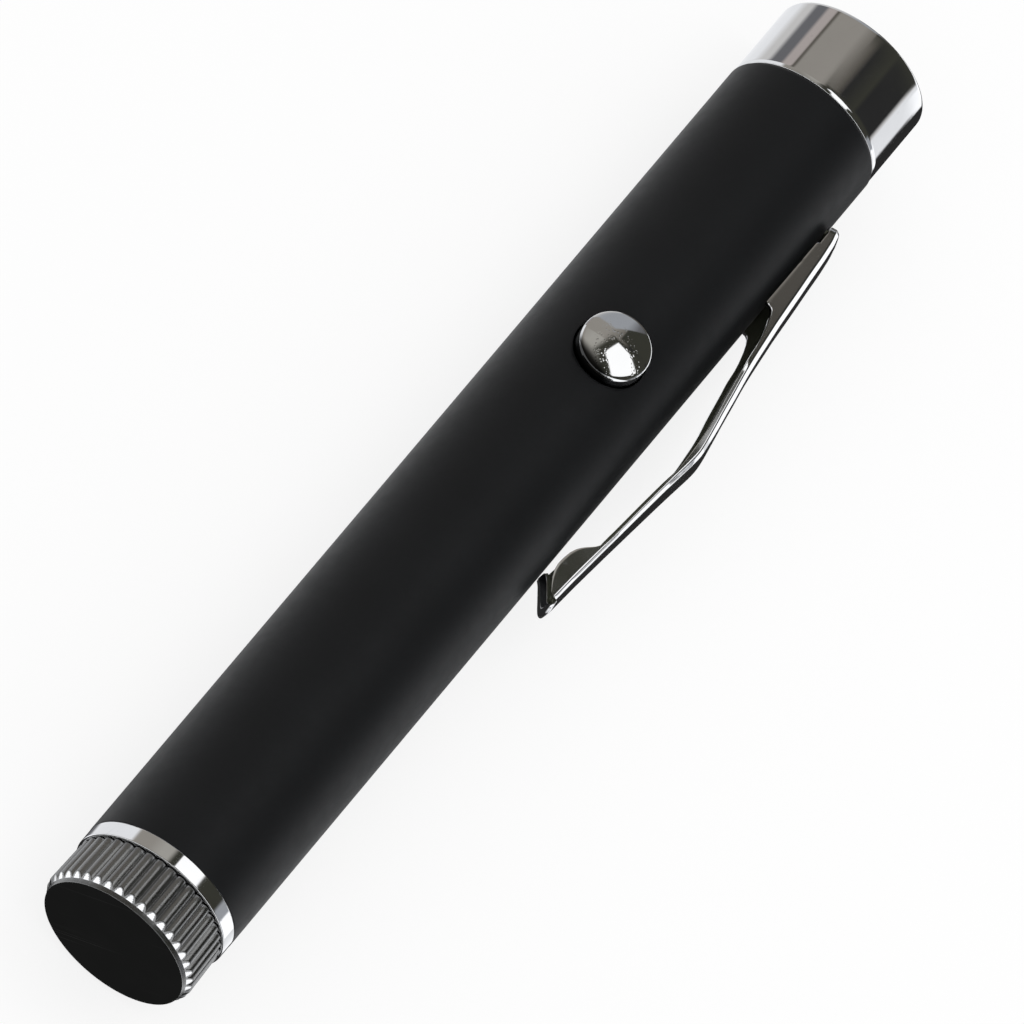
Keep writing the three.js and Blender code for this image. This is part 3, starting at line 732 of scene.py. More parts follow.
PAINT = SoftPaint("matte_black_paint", (0.0062, 0.0068, 0.0079))
CHROME = Plating("bright_plating", (0.76, 0.765, 0.775))
PITTED = PittedPlating("pitted_button_plating_painted_dark_side", (0.76, 0.765, 0.77))
# The tail face's plating is darker than the bright plating: a painted dark reflection.
DARKENED_MIRROR = LinedPlating("mirror_tail_face_painted_dark", (0.3, 0.305, 0.3), 0.03)
# The clip's inner faces and foot: a dull finish whose dark colour is painted shade in the channel.
SHADED_INNER = SoftPaint("dull_inner_face_painted_shade", (0.085, 0.09, 0.064), 0.45)
# The ribs' plating: the satin roughness is the finish; its colour, darker than the bright plating,
# is painted shade.
DARKENED_SATIN = Plating("satin_rib_plating_painted_shade", (0.25, 0.252, 0.252), 0.22, 0.12, 0.6)
BRASS = TurnedMetal("turned_brass", (0.6, 0.42, 0.17), 0.28)
SPRING_WIRE = TurnedMetal("spring_wire", (0.5, 0.51, 0.53), 0.3, 9000.0, (0.2, 0.19, 0.18))
CELL_STEEL = TurnedMetal("dull_nickel", (0.58, 0.58, 0.57), 0.36, 2600.0, (0.3, 0.29, 0.27))
ALUMINIUM = TurnedMetal("turned_aluminium", (0.55, 0.56, 0.58), 0.32, 4200.0, (0.3, 0.3, 0.3))
FILM = Film("cell_film", (0.045, 0.105, 0.18), 0.28)
FIBRE = Moulding("white_fibre", (0.7, 0.67, 0.6), 0.75, 3800.0, 0.00002, 0.06)
BOARD = SolderMask("board_green", (0.012, 0.1, 0.04), 0.32)
BLACK_PLASTIC = Moulding("black_moulding", (0.012, 0.012, 0.013), 0.45)
FERRITE = Moulding("ferrite_grey", (0.045, 0.045, 0.047), 0.65, 5000.0, 0.00002, 0.25)
CERAMIC = Moulding("fired_ceramic", (0.46, 0.3, 0.17), 0.5, 5200.0, 0.000012, 0.16)
CRYSTAL = Glass("laser_crystal_pale", (0.5, 0.78, 0.6), 0.01, 1.85)
CLEAR = Glass("clear_glass", (0.93, 0.97, 0.97), 0.01, 1.52, 0.4)
FILTER = Glass("filter_blue_green", (0.25, 0.6, 0.66), 0.01)


# The pen's sub-assemblies


@dataclass
class TailEnd:
    """The ribbed screw cap with its plug, its contact plate and the coil spring on it."""

    head_radius: float = 6.93
    head_taper: float = 0.14
    head_length: float = 4.8
    face_radius: float = 6.49
    rim_radius: float = 6.58
    rim_length: float = 0.4
    chamfer: float = 0.5
    end_round: float = 0.035
    ribs: int = 40
    rib_phase: float = -1.3
    rib_samples: int = 20
    rib_crowding: float = 0.6
    rib_arc: float = 0.595
    groove_round: float = 0.05
    # Painted highlights at the ribs' ends: the spread of their widths, how far the cone must cut
    # below the crest, and how fast that grows away from it.
    highlight_spread: Pair = (0.24, 0.36)
    highlight_edge: float = 0.05
    highlight_drop: float = 0.2
    plug_radius: float = 5.45
    plug_end: float = 9.75
    bore: float = 4.7
    floor: float = 1.4
    thread_crest: float = 5.8
    thread_start: float = 5.925
    thread_turns: int = 3
    contact_radius: float = 4.5
    contact_faces: Pair = (1.45, 1.85)
    dish: Triple = (3.4, 3.2, 0.12)
    wire_radius: float = 0.25
    coil_radii: Pair = (4.0, 2.6)
    coil_stations: Pair = (2.15, 9.5)
    coil_turns: int = 5

    def rib_angles(self) -> tuple[Array, Array]:
        """Turns round the cap that crowd together in the grooves.

        Within a rib an even share s becomes s plus a sine of it, which spreads the points over
        the crest.

        Returns:
            The turns, and how far each one lies from its crest as a share of the rib.
        """
        share = np.arange(self.rib_samples) / self.rib_samples - 0.5
        share = share + self.rib_crowding * np.sin(TURN * share) / TURN
        rib = np.arange(self.ribs)[:, None]
        angle = (rib + share) * TURN / self.ribs + math.radians(self.rib_phase)
        return angle.ravel(), np.tile(share, self.ribs)

    def rib_depth(self, share: Array) -> Array:
        """How deep the surface lies under the crest: a circle's arc, softly limited in the groove.

        Args:
            share: the way from the crest as a share of the rib.

        Returns:
            The depths.
        """
        off = share * TURN / self.ribs * self.head_radius
        arc = self.rib_arc - np.sqrt(self.rib_arc**2 - off**2)
        deepest = arc.max() - self.groove_round
        gap = deepest - arc
        depth = deepest - 0.5 * (gap + np.sqrt(gap**2 + self.groove_round**2))
        return depth - depth.min()

    def cone(self, station: Array) -> Array:
        """The radius of the cone that cuts the ribs' ends."""
        rise = (self.head_radius - self.rim_radius) / self.chamfer
        return self.rim_radius + rise * (station - self.rim_length)

    def head(self) -> Shell:
        """The cap: a mirror face, a narrow rim, a cone that cuts the ribs' ends, ribs and plug.

        The radius at a station is the smaller of the rib's radius and the cone's, with a soft
        passage: half the sum less half the root of the squared difference plus a small square.
        The crests lie on a slight taper that narrows towards the ring.

        Returns:
            The closed shell, with face, cone and ribs in slots of their own.
        """
        angle, share = self.rib_angles()
        depth = self.rib_depth(share)
        face, plug, bore = self.face_radius, self.plug_radius, self.bore
        end, cone_end = self.head_length, self.rim_length + self.chamfer
        flat = [(0.02, 0.0), (2.5, 0.0), (face - 0.3, 0.0), (face - 0.03, 0.0)]
        ribbed = [(face - 0.02, 0.001), (face, 0.015), (face + 0.008, 0.04)]
        ribbed.append((self.rim_radius - 0.005, self.rim_length - 0.02))
        rib = self.head_radius - depth
        for station in np.linspace(self.rim_length, cone_end + 0.1, 30):
            cone = self.cone(station)
            soft = np.sqrt((rib - cone) ** 2 + self.end_round**2)
            ribbed.append((0.5 * (rib + cone) - 0.5 * soft, station))
        for station in np.linspace(cone_end + 0.4, end - 0.1, 6):
            lean = self.head_taper * (station - cone_end) / (end - cone_end)
            ribbed.append((rib - lean, station))
        crest = rib - self.head_taper
        ribbed += [(crest - 0.01, end - 0.05), (crest - 0.04, end - 0.01), (crest - 0.07, end)]
        plain = [
            (plug + 0.25, end), (plug + 0.03, end), (plug, end + 0.03), (plug, end + 0.3),
            (plug, self.plug_end - 0.3), (plug, self.plug_end - 0.1),
            (plug - 0.1, self.plug_end), (bore + 0.05, self.plug_end),
            (bore, self.plug_end - 0.05), (bore, self.plug_end - 0.3),
            (bore, self.floor + 0.2), (bore - 0.1, self.floor), (bore - 0.4, self.floor),
            (0.02, self.floor),
        ]
        radius = np.stack([row[0] + 0 * angle for row in flat + ribbed + plain])
        station = np.array([row[1] for row in flat + ribbed + plain])[:, None]
        shell = swept(around(radius, station, angle))
        # The face takes the darkened mirror plating and the ribs the darkened satin: a painted dark
        # reflection and painted shade.
        slots = np.repeat([1, 2, 0], [len(flat), len(ribbed), len(plain)])[:-1, None]
        # Where the cone cuts well below the rib the plating stays bright, a painted highlight
        # shaped as the glints at the ribs' ends; the rest is the darkened satin, painted shade. A
        # highlight narrows away from the crest, and no two are quite as wide.
        off = 0.5 * (np.abs(share) + np.abs(np.roll(share, -1)))
        width = np.random.default_rng(11).uniform(*self.highlight_spread, self.ribs)
        narrow = self.highlight_edge + (off / np.repeat(width, self.rib_samples)) ** 2 * self.highlight_drop
        between = 0.5 * (station[:-1] + station[1:])
        rib = self.head_radius - 0.5 * (depth + np.roll(depth, -1))
        painted_highlight = rib - self.cone(between) > narrow
        painted_highlight &= (between > self.rim_length) & (between < cone_end)
        shell.slots = np.append(np.where(painted_highlight, 0, slots), np.ones_like(angle, int))
        return shell

    def contact(self) -> Shell:
        """The dished contact plate with a rolled edge.

        Returns:
            The closed shell.
        """
        (start, end), (outer, inner, sink) = self.contact_faces, self.dish
        rolled = [(self.contact_radius, start, 0.15), (self.contact_radius, end, 0.15)]
        dished = [(outer, end, 0.05), (inner, end - sink, 0.05), (0.0, end - sink, 0)]
        return turned(rounded([(0.0, start, 0), *rolled, *dished]), 96)

    def spring(self) -> Shell:
        """The cone-shaped coil: a helix whose radius shrinks as it climbs, with closed ends.

        The wire is a circle carried along the helix, square to it.

        Returns:
            The closed shell.
        """
        turn = np.linspace(0, self.coil_turns, 40 * self.coil_turns + 1)
        ends = (self.coil_radii, self.coil_stations)
        radius, station = (low + (high - low) * turn / self.coil_turns for low, high in ends)
        line = around(radius, station, TURN * turn)
        along = unit(np.gradient(line, axis=0))
        out = unit(np.cross(along, [0.0, 1.0, 0.0]))[:, None]
        side = np.cross(along[:, None], out)
        angle = np.linspace(0, TURN, 14, endpoint=False)[:, None]
        ring = self.wire_radius * (np.cos(angle) * out + np.sin(angle) * side)
        return swept(line[:, None] + ring)

    def build(self) -> None:
        """Makes the cap, the contact plate and the spring."""
        wall, crest = self.plug_radius, self.thread_crest
        cap = self.head().joined(helix_ridge(wall, crest, self.thread_start, self.thread_turns))
        make_piece(
            "ribbed_tail_cap", cap, Body.CAP, CHROME, DARKENED_MIRROR, DARKENED_SATIN, node="tail_cap", slot="chrome"
        )
        body = Body.CONTACT
        make_piece("contact_plate", self.contact(), body, BRASS, node="cap_contact", slot="brass")
        make_piece(
            "coil_spring", self.spring(), body, SPRING_WIRE, node="tail_spring", slot="spring_steel"
        )


@dataclass
class Opening:
    """A hole through the tube's wall: its place, the patch of skin round it and its outline."""

    turn: float
    station: float
    half_cells: int
    reach: float
    outline: Callable[[Array], Array]


@dataclass
class Barrel:
    """The painted tube with its button hole and clip slot, and the collars at both ends."""

    radius: float = 7.0
    bore: float = 6.4
    start: float = 6.27
    end: float = 94.67
    nose_edge: float = 0.3
    sides: int = 192
    fan_rings: int = 8
    hole_radius: float = 3.15
    hole_station: float = 64.4
    hole_reach: float = 4.2
    slot_size: Pair = (3.0, 1.05)
    slot_power: float = 8.0
    slot_station: float = 88.175
    slot_reach: float = 1.5
    rim_sink: float = 0.25
    ring_start: float = 4.85
    ring_inner: float = 5.95
    sleeve: float = 6.3
    collar_end: float = 11.27
    collar_crest: float = 5.6
    collar_thread_start: float = 5.425
    collar_turns: int = 5
    nose_radius: float = 6.93
    nose_start: float = 90.07
    nose_bore: float = 5.617
    nose_wall: float = 99.0
    nose_end: float = 102.0
    window_seat: float = 3.3
    window_stop: float = 99.9
    opening: float = 2.0
    flare: float = 3.09
    flare_depth: float = 1.1

    def circle(self, angle: Array) -> Array:
        """The button hole's outline seen from outside, as X and Y offsets at a bearing."""
        return self.hole_radius * np.stack([np.sin(angle), np.cos(angle)], -1)

    def rectangle(self, angle: Array) -> Array:
        """The slot's outline: a point slides on a superellipse of high power at a bearing.

        Args:
            angle: the bearings, seen from outside.

        Returns:
            The X and Y offsets.
        """
        way = np.stack([np.sin(angle), np.cos(angle)], -1)
        total = np.sum(np.abs(2 * way / self.slot_size) ** self.slot_power, -1, keepdims=True)
        return way * total ** (-1 / self.slot_power)

    def skin(
        self, radius: float, stations: Array, openings: list[Opening]
    ) -> tuple[Array, Array, list[Array]]:
        """A cylinder skin whose grid gives way to a fan of rings round each opening.

        A ring of the fan goes from the square edge of the patch to the opening's outline, by
        straight steps in the plan seen from outside, laid on the cylinder after that.

        Args:
            radius: the skin's radius.
            stations: the stations of the grid's rows.
            openings: the holes.

        Returns:
            Points, faces as rows of four numbers, and the point numbers of each opening's rim.
        """
        columns = self.sides
        grid = around(radius, stations[:, None], np.arange(columns) * TURN / columns)
        points = [grid.reshape(-1, 3)]
        faces = grid_faces(len(stations), columns)
        row, column = np.divmod(np.arange(len(faces)), columns)
        keep = np.ones(len(faces), bool)
        fans: list[Array] = []
        rims: list[Array] = []
        total = len(points[0])
        for hole in openings:
            half, middle = hole.half_cells, round(hole.turn / TURN * columns)
            ends = hole.station + hole.reach * np.array([-1, 1])
            low, high = np.argmin(np.abs(stations[:, None] - ends), 0)
            near = (column - middle + half) % columns
            keep &= (near >= 2 * half) | (row < low) | (row >= high)
            corners = np.array([[-half, low], [half, low], [half, high], [-half, high]])
            runs = zip(corners, np.roll(corners, -1, 0))
            runs = [np.linspace(a, b, abs(b - a).sum(), endpoint=False) for a, b in runs]
            edge = np.concatenate(runs).round().astype(int)
            rim = edge[:, 1] * columns + (edge[:, 0] + middle) % columns
            x, y, z = points[0][rim].T
            cos, sin = math.cos(hole.turn), math.sin(hole.turn)
            plan = np.stack([x * cos - z * sin, y - hole.station], -1)
            goal = hole.outline(np.arctan2(*plan.T))
            share = np.linspace(0, 1, self.fan_rings + 1)[1:, None, None]
            across, along = np.moveaxis(plan + (goal - plan) * share, -1, 0)
            depth = np.sqrt(radius**2 - across**2)
            x, z = across * cos + depth * sin, depth * cos - across * sin
            points.append(np.stack([x, along + hole.station, z], -1).reshape(-1, 3))
            numbers = np.concatenate([rim, total + np.arange(x.size)])
            fans.append(numbers[grid_faces(self.fan_rings + 1, len(rim))])
            rims.append(numbers[-len(rim) :])
            total += x.size
        return np.concatenate(points), np.concatenate([faces[keep], *fans]), rims

    def stations(self) -> Array:
        """Rows of the tube's grid: even steps, closer round the openings and at the edges.

        Returns:
            Their stations.
        """
        hole = self.hole_station + np.linspace(-self.hole_reach, self.hole_reach, 37)
        slot = self.slot_station + np.linspace(-self.slot_reach, self.slot_reach, 13)
        return np.concatenate(
            [
                [self.start + 0.12, self.start + 0.2],
                np.linspace(self.start + 1, hole[0], 40, endpoint=False),
                hole,
                np.linspace(hole[-1], slot[0], 16, endpoint=False)[1:],
                slot,
                np.linspace(slot[-1], self.end - 1, 5)[1:],
                [self.end - 0.45, self.end - self.nose_edge - 0.05],
            ]
        )

    def tube(self) -> Shell:
        """The tube: an outer skin, an inner skin, two rounded end lips and the openings' walls.

        Each wall or lip is a strip from a loop of the outer skin over rings of its own to the
        same loop of the inner skin. An opening's own ring is sunk a little, which slopes its edge.

        Returns:
            The closed shell.
        """
        stations, edge = self.stations(), self.nose_edge
        openings = [
            Opening(0.0, self.hole_station, 18, self.hole_reach, self.circle),
            Opening(RIGHT_ANGLE, self.slot_station, 12, self.slot_reach, self.rectangle),
        ]
        outer, outer_faces, rims = self.skin(self.radius, stations, openings)
        inner, inner_faces, _ = self.skin(self.bore, stations, openings)
        sunk = outer * (1 - self.rim_sink) + inner * self.rim_sink
        strips = [(rim, sunk[rim][None], 1) for rim in rims]
        tail = [(self.radius - 0.012, self.start + 0.05), (self.radius - 0.08, self.start)]
        arc = np.linspace(0, RIGHT_ANGLE, 6)
        nose = edge * np.stack([np.cos(arc), np.sin(arc)], -1)
        nose += [self.radius - edge, self.end - edge]
        loop = np.arange(self.sides)
        for lip, end, first, way in (
            (tail, self.start, loop, -1),
            (nose, self.end, loop + (len(stations) - 1) * self.sides, 1),
        ):
            rows = np.array([*lip, (self.bore, end)])
            strips.append((first, around(rows[:, :1], rows[:, 1:], loop * TURN / self.sides), way))
        points, faces = [outer, inner], [outer_faces, inner_faces[:, ::-1] + len(outer)]
        total = 2 * len(outer)
        for first, rings, way in strips:
            own = rings.reshape(-1, 3)
            numbers = np.concatenate([first, total + np.arange(len(own)), first + len(outer)])
            faces.append(numbers[grid_faces(len(rings) + 2, len(first))][:, ::way])
            points.append(own)
            total += len(own)
        return Shell(np.concatenate(points), np.concatenate(faces)).outward()

    def tail_collar(self) -> Shell:
        """The bright ring, its sleeve in the tube and the screw ridge in its bore.

        Returns:
            The ring and the ridge as one shell.
        """
        outline = [
            (self.ring_inner, self.ring_start, 0.1),
            (self.radius - 0.02, self.ring_start, 0.11),
            (self.radius - 0.02, self.start, 0.05),
            (self.sleeve, self.start, 0),
            (self.sleeve, self.collar_end, 0.1),
            (self.ring_inner, self.collar_end, 0.1),
        ]
        crest, start = self.collar_crest, self.collar_thread_start
        ridge = helix_ridge(self.ring_inner, crest, start, self.collar_turns)
        return turned(rounded(outline), self.sides).joined(ridge)

    def nose_collar(self) -> Shell:
        """The nose: a plain bright collar with a bevelled joint and a flared beam opening.

        Returns:
            The closed shell.
        """
        flare_start = self.nose_end - self.flare_depth
        outline = [
            (self.nose_bore, self.nose_start, 0.1),
            (self.sleeve, self.nose_start, 0.1),
            (self.sleeve, self.end, 0),
            (self.nose_radius - 0.2, self.end, 0.02),
            (self.nose_radius - 0.09, self.end + 0.07, 0.1),
            (self.nose_radius - 0.012, self.end + 0.34, 0.5),
            (self.nose_radius, self.end + 0.7, 0.5),
            (self.nose_radius, self.nose_end, 0.35),
            (self.flare, self.nose_end, 0.12),
            (self.opening + 0.25, flare_start, 0.1),
            (self.opening, flare_start - 0.1, 0.05),
            (self.opening, self.window_stop, 0),
            (self.window_seat, self.window_stop, 0),
            (self.window_seat, self.nose_wall, 0),
            (self.nose_bore, self.nose_wall, 0.1),
        ]
        return turned(rounded(outline, 6), self.sides)

    def build(self) -> None:
        """Makes the tube and both collars."""
        body, tail, nose = Body.BARREL, self.tail_collar(), self.nose_collar()
        make_piece("painted_tube", self.tube(), body, PAINT, node="barrel_tube", slot="black_paint")
        make_piece("tail_ring", tail, body, CHROME, node="tail_collar", slot="chrome")
        make_piece("nose_shell", nose, body, CHROME, node="nose_collar", slot="chrome")


@dataclass
class PushButton:
    """The domed button with the flange that keeps it in the tube."""

    radius: float = 3.0
    flange: float = 3.5
    flange_edge: float = 0.08
    bottom: float = 4.558
    flange_top: float = 5.058
    shoulder: float = 7.85
    dome: float = 0.6
    shoulder_edge: float = 0.26
    dome_share: float = 0.93
    station: float = 64.4

    def cap(self) -> Shell:
        """The button: a spherical dome that rolls over a small edge into a straight side.

        Returns:
            The closed shell.
        """
        sphere = (self.radius**2 + self.dome**2) / (2 * self.dome)
        across = np.linspace(self.dome_share, 0.0, 22) * self.radius
        height = self.shoulder + self.dome - sphere + np.sqrt(sphere**2 - across**2)
        dome = np.stack([across, height], -1)
        side, top, edge = self.shoulder - self.shoulder_edge, self.flange_top, self.flange_edge
        low, corner = np.array([[self.radius, side], [self.radius, self.shoulder - 0.03]])
        foot = [
            (0.0, self.bottom), (self.flange - edge, self.bottom),
            (self.flange, self.bottom + edge), (self.flange, top - edge),
            (self.flange - edge, top), (self.radius + 0.03, top), (self.radius, top + 0.03),
            (self.radius, side - 0.1),
        ]
        outline = np.concatenate([foot, curved(low, corner, dome[0], 7), dome[1:]])
        shell = turned(outline, 128, Axis.UPRIGHT)
        shell.points[:, 1] += self.station
        return shell

    def build(self) -> None:
        """Makes the button."""
        cap = self.cap()
        make_piece("domed_button", cap, Body.BUTTON, PITTED, node="button_cap", slot="chrome")


@dataclass
class PocketClip:
    """The pressed sheet clip: a channel with a kinked back, toe lobes, a toe flap and a foot.

    Stations run along the pen and heights are distances from its axis, towards +X. A line is a
    row of station and value pairs with falling stations.
    """

    sheet: float = 0.42
    draw: float = 0.55
    columns_wall: int = 6
    columns_corner: int = 5
    columns_back: int = 12
    corner_reaches: Pair = (0.1, 0.12)
    crown_power: float = 1.35
    end_reach: float = 0.7
    end_drop: float = 0.72
    end_tuck: float = 0.75
    flap_depth: float = 0.2
    flap_crown: float = 0.14
    flap_fade: Pair = (46.7, 47.2)
    flap_half: float = 1.2
    tube_skin: float = 7.03
    row_runs: Line = ((86.4, 12), (85.7, 14), (79.3, 36), (77.4, 28), (54.5, 100), (47.05, 69))
    back_line: Line = (
        (87.9, 8.29), (87.14, 8.49), (85.3, 8.7), (83.41, 8.83), (81.6, 8.99), (78.0, 9.26),
        (76.19, 9.45), (74.6, 9.61), (72.79, 9.84), (70.91, 10.17), (69.1, 10.44),
        (67.3, 10.76), (65.71, 11.03), (64.82, 11.15), (63.9, 11.09), (62.52, 10.92),
        (60.71, 10.71), (57.19, 10.36), (53.58, 10.01), (49.97, 9.68), (47.96, 9.53),
        (47.1, 9.46),
    )
    edge_line: Line = (
        (88.4, 6.93), (87.8, 6.95), (87.4, 7.05), (86.12, 7.08), (86.04, 6.9), (85.9, 6.86),
        (84.0, 6.85), (83.7, 6.89), (83.4, 6.85), (78.95, 6.82), (78.82, 7.0), (78.78, 7.3),
        (78.6, 7.52), (78.1, 7.78), (77.4, 8.02), (76.3, 8.3), (75.4, 8.46), (74.3, 8.58),
        (72.8, 8.8), (71.4, 9.02), (70.2, 9.22), (68.8, 9.5), (67.6, 9.66), (66.5, 9.75),
        (65.2, 9.86), (63.9, 9.92), (62.4, 9.95), (60.7, 9.86), (58.9, 9.73), (57.4, 9.6),
        (55.5, 9.48), (54.2, 9.38), (53.36, 9.25), (52.95, 9.06), (52.64, 8.86), (52.35, 8.6),
        (52.07, 8.34), (51.75, 8.08), (51.37, 7.84), (50.8, 7.62), (50.1, 7.5), (49.47, 7.45),
        (48.87, 7.55), (48.24, 7.82), (47.69, 8.15), (47.18, 8.53), (46.85, 8.9), (46.7, 9.2),
    )
    width_line: Line = ((88.4, 3.1), (73.3, 3.1), (49.4, 1.74), (47.0, 1.64))
    bevel_line: Line = (
        (88.4, 0.38), (80.0, 0.42), (68.0, 0.38), (65.0, 0.3), (62.5, 0.265), (58.0, 0.25),
        (55.0, 0.225), (53.0, 0.22), (46.0, 0.22),
    )
    bevel_run: Line = ((88.4, 1.28), (64.0, 1.28), (61.0, 2.0), (46.0, 2.0))
    crown_line: Line = (
        (88.4, 0.42), (80.0, 0.38), (68.0, 0.32), (64.0, 0.44), (60.7, 0.42), (57.4, 0.38),
        (55.0, 0.345), (53.0, 0.34), (46.0, 0.31),
    )
    lean_line: Line = ((88.4, 3.5), (73.9, 3.2), (72.9, -3.0), (46.0, -3.3))
    flap_line: Line = (
        (46.98, 9.455), (46.72, 9.44), (46.45, 9.35), (46.28, 9.18), (46.22, 8.95),
        (46.32, 8.7), (46.6, 8.47), (46.95, 8.23), (47.4, 7.91), (47.82, 7.6), (48.12, 7.36),
        (48.3, 7.18), (48.36, 7.04),
    )
    foot_width: float = 2.4
    foot_length: float = 2.4
    foot_sheet: float = 0.45
    foot_top: float = 6.067
    tongue_top: float = 7.5
    root: float = 88.4

    @staticmethod
    def read(line: Line, stations: Array) -> Array:
        """The values of a line at some stations, straight between its pairs."""
        return np.interp(stations, *np.array(line)[::-1].T)

    @staticmethod
    def softened(values: Array, passes: int) -> Array:
        """A row of values smoothed by averaging each with its neighbours.

        Args:
            values: the row, smoothed along its first axis.
            passes: how often.

        Returns:
            The smoothed row, its ends unmoved.
        """
        out = values.copy()
        for _ in range(passes):
            out[1:-1] = 0.25 * out[:-2] + 0.5 * out[1:-1] + 0.25 * out[2:]
        return out

    def middle_line(self) -> tuple[Array, int]:
        """The clip's outer middle line: the back from the root and then the flap's bend.

        Returns:
            Station and height pairs, and how many of them belong to the back.
        """
        ends, counts = np.array([(self.root - self.end_reach, 0), *self.row_runs]).T
        runs = zip(ends, ends[1:], counts[1:].astype(int))
        rows = [np.linspace(start, end, count, endpoint=False) for start, end, count in runs]
        stations = np.concatenate([*rows, ends[-1:]])
        back = np.stack([stations, self.read(self.back_line, stations)], -1)
        flap = np.array(self.flap_line)
        length = np.append(0, np.cumsum(np.hypot(*np.diff(flap, axis=0).T)))
        even = np.linspace(0, length[-1], 44)
        fine = np.stack([np.interp(even, length, column) for column in flap.T], -1)
        return np.concatenate([self.softened(back, 14), self.softened(fine, 3)]), len(back)

    def eased(self, before: Array, here: Array, after: Array, reach: float) -> Array:
        """A rounded corner for all sections at once, as a quadratic curve.

        Args:
            before: a point of the run before the corner, one row per section.
            here: the corner.
            after: a point of the run after it.
            reach: how far from the corner the curve begins and ends at most.

        Returns:
            The curve's points, as step, section, pair.
        """
        ways = np.stack([before - here, after - here])
        lengths = np.linalg.norm(ways, axis=-1, keepdims=True) + 1e-9
        start, end = here + ways / lengths * np.minimum(reach, 0.45 * lengths.min(0))
        return curved(start, here, end, self.columns_corner)

    def section(self, station: Array, depth: Array, half: Array, flap: Array) -> Array:
        """Half of the sheet's section at each station, from the wall's edge to the middle.

        The wall leans a little, a slanting bevel joins it to the back, and the back is crowned:
        its drop is the crown times a power of the way from the middle.

        Args:
            station: the stations.
            depth: the whole drop from the back's middle to the wall's edge.
            half: the half width.
            flap: where the section is a plain crowned strip.

        Returns:
            Side and drop, both as station and point.
        """
        crown = np.minimum(self.read(self.crown_line, station), 0.5 * depth)
        crown = np.where(flap, self.flap_crown, crown)
        bevel = np.minimum(self.read(self.bevel_line, station), 0.66 * (depth - crown))
        bevel = np.where(flap, 0.02, bevel)
        lean = np.tan(np.radians(self.read(self.lean_line, station)))
        edge = np.stack([half + lean * (depth - crown - bevel), depth], 1)
        upper = np.stack([half, crown + bevel], 1)
        inner = np.stack([half - self.read(self.bevel_run, station) * bevel, crown], 1)
        first = self.eased(edge, upper, inner, self.corner_reaches[0])
        lift = [0.7, 0.7**self.crown_power]
        second = self.eased(upper, inner, inner * lift, self.corner_reaches[1])
        run = np.append(np.linspace(0, 0.88, self.columns_wall), 0.975)[:, None, None]
        share = np.linspace(1, 0, self.columns_back)[1:, None]
        back = second[-1] * np.stack([share, share**self.crown_power], -1)
        return np.concatenate([edge + (first[0] - edge) * run, first, second, back]).T

    def surface(self) -> Shell:
        """The sheet's outer face: an open channel section carried along the middle line.

        The toe flap is a narrow crowned strip. At the root the section rolls over into an end
        wall, whose lower edge follows the tube.

        Returns:
            The open shell.
        """
        line, start = self.middle_line()
        station, height = line.T
        flap = np.arange(len(line)) >= start
        depth = np.maximum(height - self.read(self.edge_line, station), self.flap_depth)
        fade = np.interp(station, self.flap_fade, (0, 1)) * ~flap
        depth = depth * fade + self.flap_depth * (1 - fade)
        # A shallow wall draws the sides in, down to the width of the flap.
        turn = np.arccos(np.clip(1 - depth / self.draw, 0, 1))
        half = self.read(self.width_line, station) - self.draw * (1 - np.sin(turn))
        narrow = np.linspace(0, 1, len(line) - start)
        ease = np.clip(narrow / 0.4, 0, 1)
        ease = ease * ease * (3 - 2 * ease)
        half[start:] = half[start - 1] + (self.flap_half - half[start - 1]) * ease
        half[start:] -= 0.3 * narrow**8
        side, fall = self.section(station, depth, half, flap)
        across = np.concatenate([side, -side[:, -2::-1]], 1)
        fall = np.concatenate([fall, fall[:, -2::-1]], 1)[..., None]
        normal = unit(np.gradient(line, axis=0))[:, ::-1] * [1, -1]
        y, x = np.moveaxis(line[:, None] - fall * normal[:, None], -1, 0)
        sheet = np.stack([x, y, across], -1)
        # The root's roll: a quarter circle along the pen that also drops and tucks in.
        x, y, z = sheet[0].T
        angle = np.linspace(0, RIGHT_ANGLE, 9)[:0:-1, None]
        off = 1 - np.cos(angle)
        out = z * (1 - self.end_tuck * off / z.max())
        up = np.maximum(x - self.end_drop * off * (x - x.min()) / np.ptp(x), self.skirt(out))
        roll = np.stack([up, y + self.end_reach * np.sin(angle), out], -1)
        x, y, z = roll[0].T
        pull = np.array([1.0, 0.8, 0.55, 0.3, 0.1, 0.02])[:, None]
        out = z * (1 - 0.6 * pull)
        closing = np.stack([x + (self.skirt(out) - x) * pull, y + 0 * out, out], -1)
        grid = np.concatenate([closing, roll, sheet])
        return Shell(grid.reshape(-1, 3), grid_faces(*grid.shape[:2], wrap=False))

    def skirt(self, across: Array) -> Array:
        """How low the end wall may reach: just over the tube, and never below the wall's edge."""
        return np.maximum(np.sqrt(self.tube_skin**2 - across**2), self.edge_line[0][1])

    def foot(self) -> Shell:
        """The tongue that drops through the tube's slot and the foot that lies inside it.

        Returns:
            Both blocks as one shell.
        """
        sheet, width, top = self.foot_sheet, self.foot_width, self.tongue_top
        bottom = self.foot_top - sheet
        place = ((top + bottom) / 2, self.root - sheet / 2, -width / 2)
        tongue = slab((top - bottom, sheet, width), place)
        place = (bottom + sheet / 2, self.root - self.foot_length / 2, -width / 2)
        return tongue.joined(slab((sheet, self.foot_length, width), place))

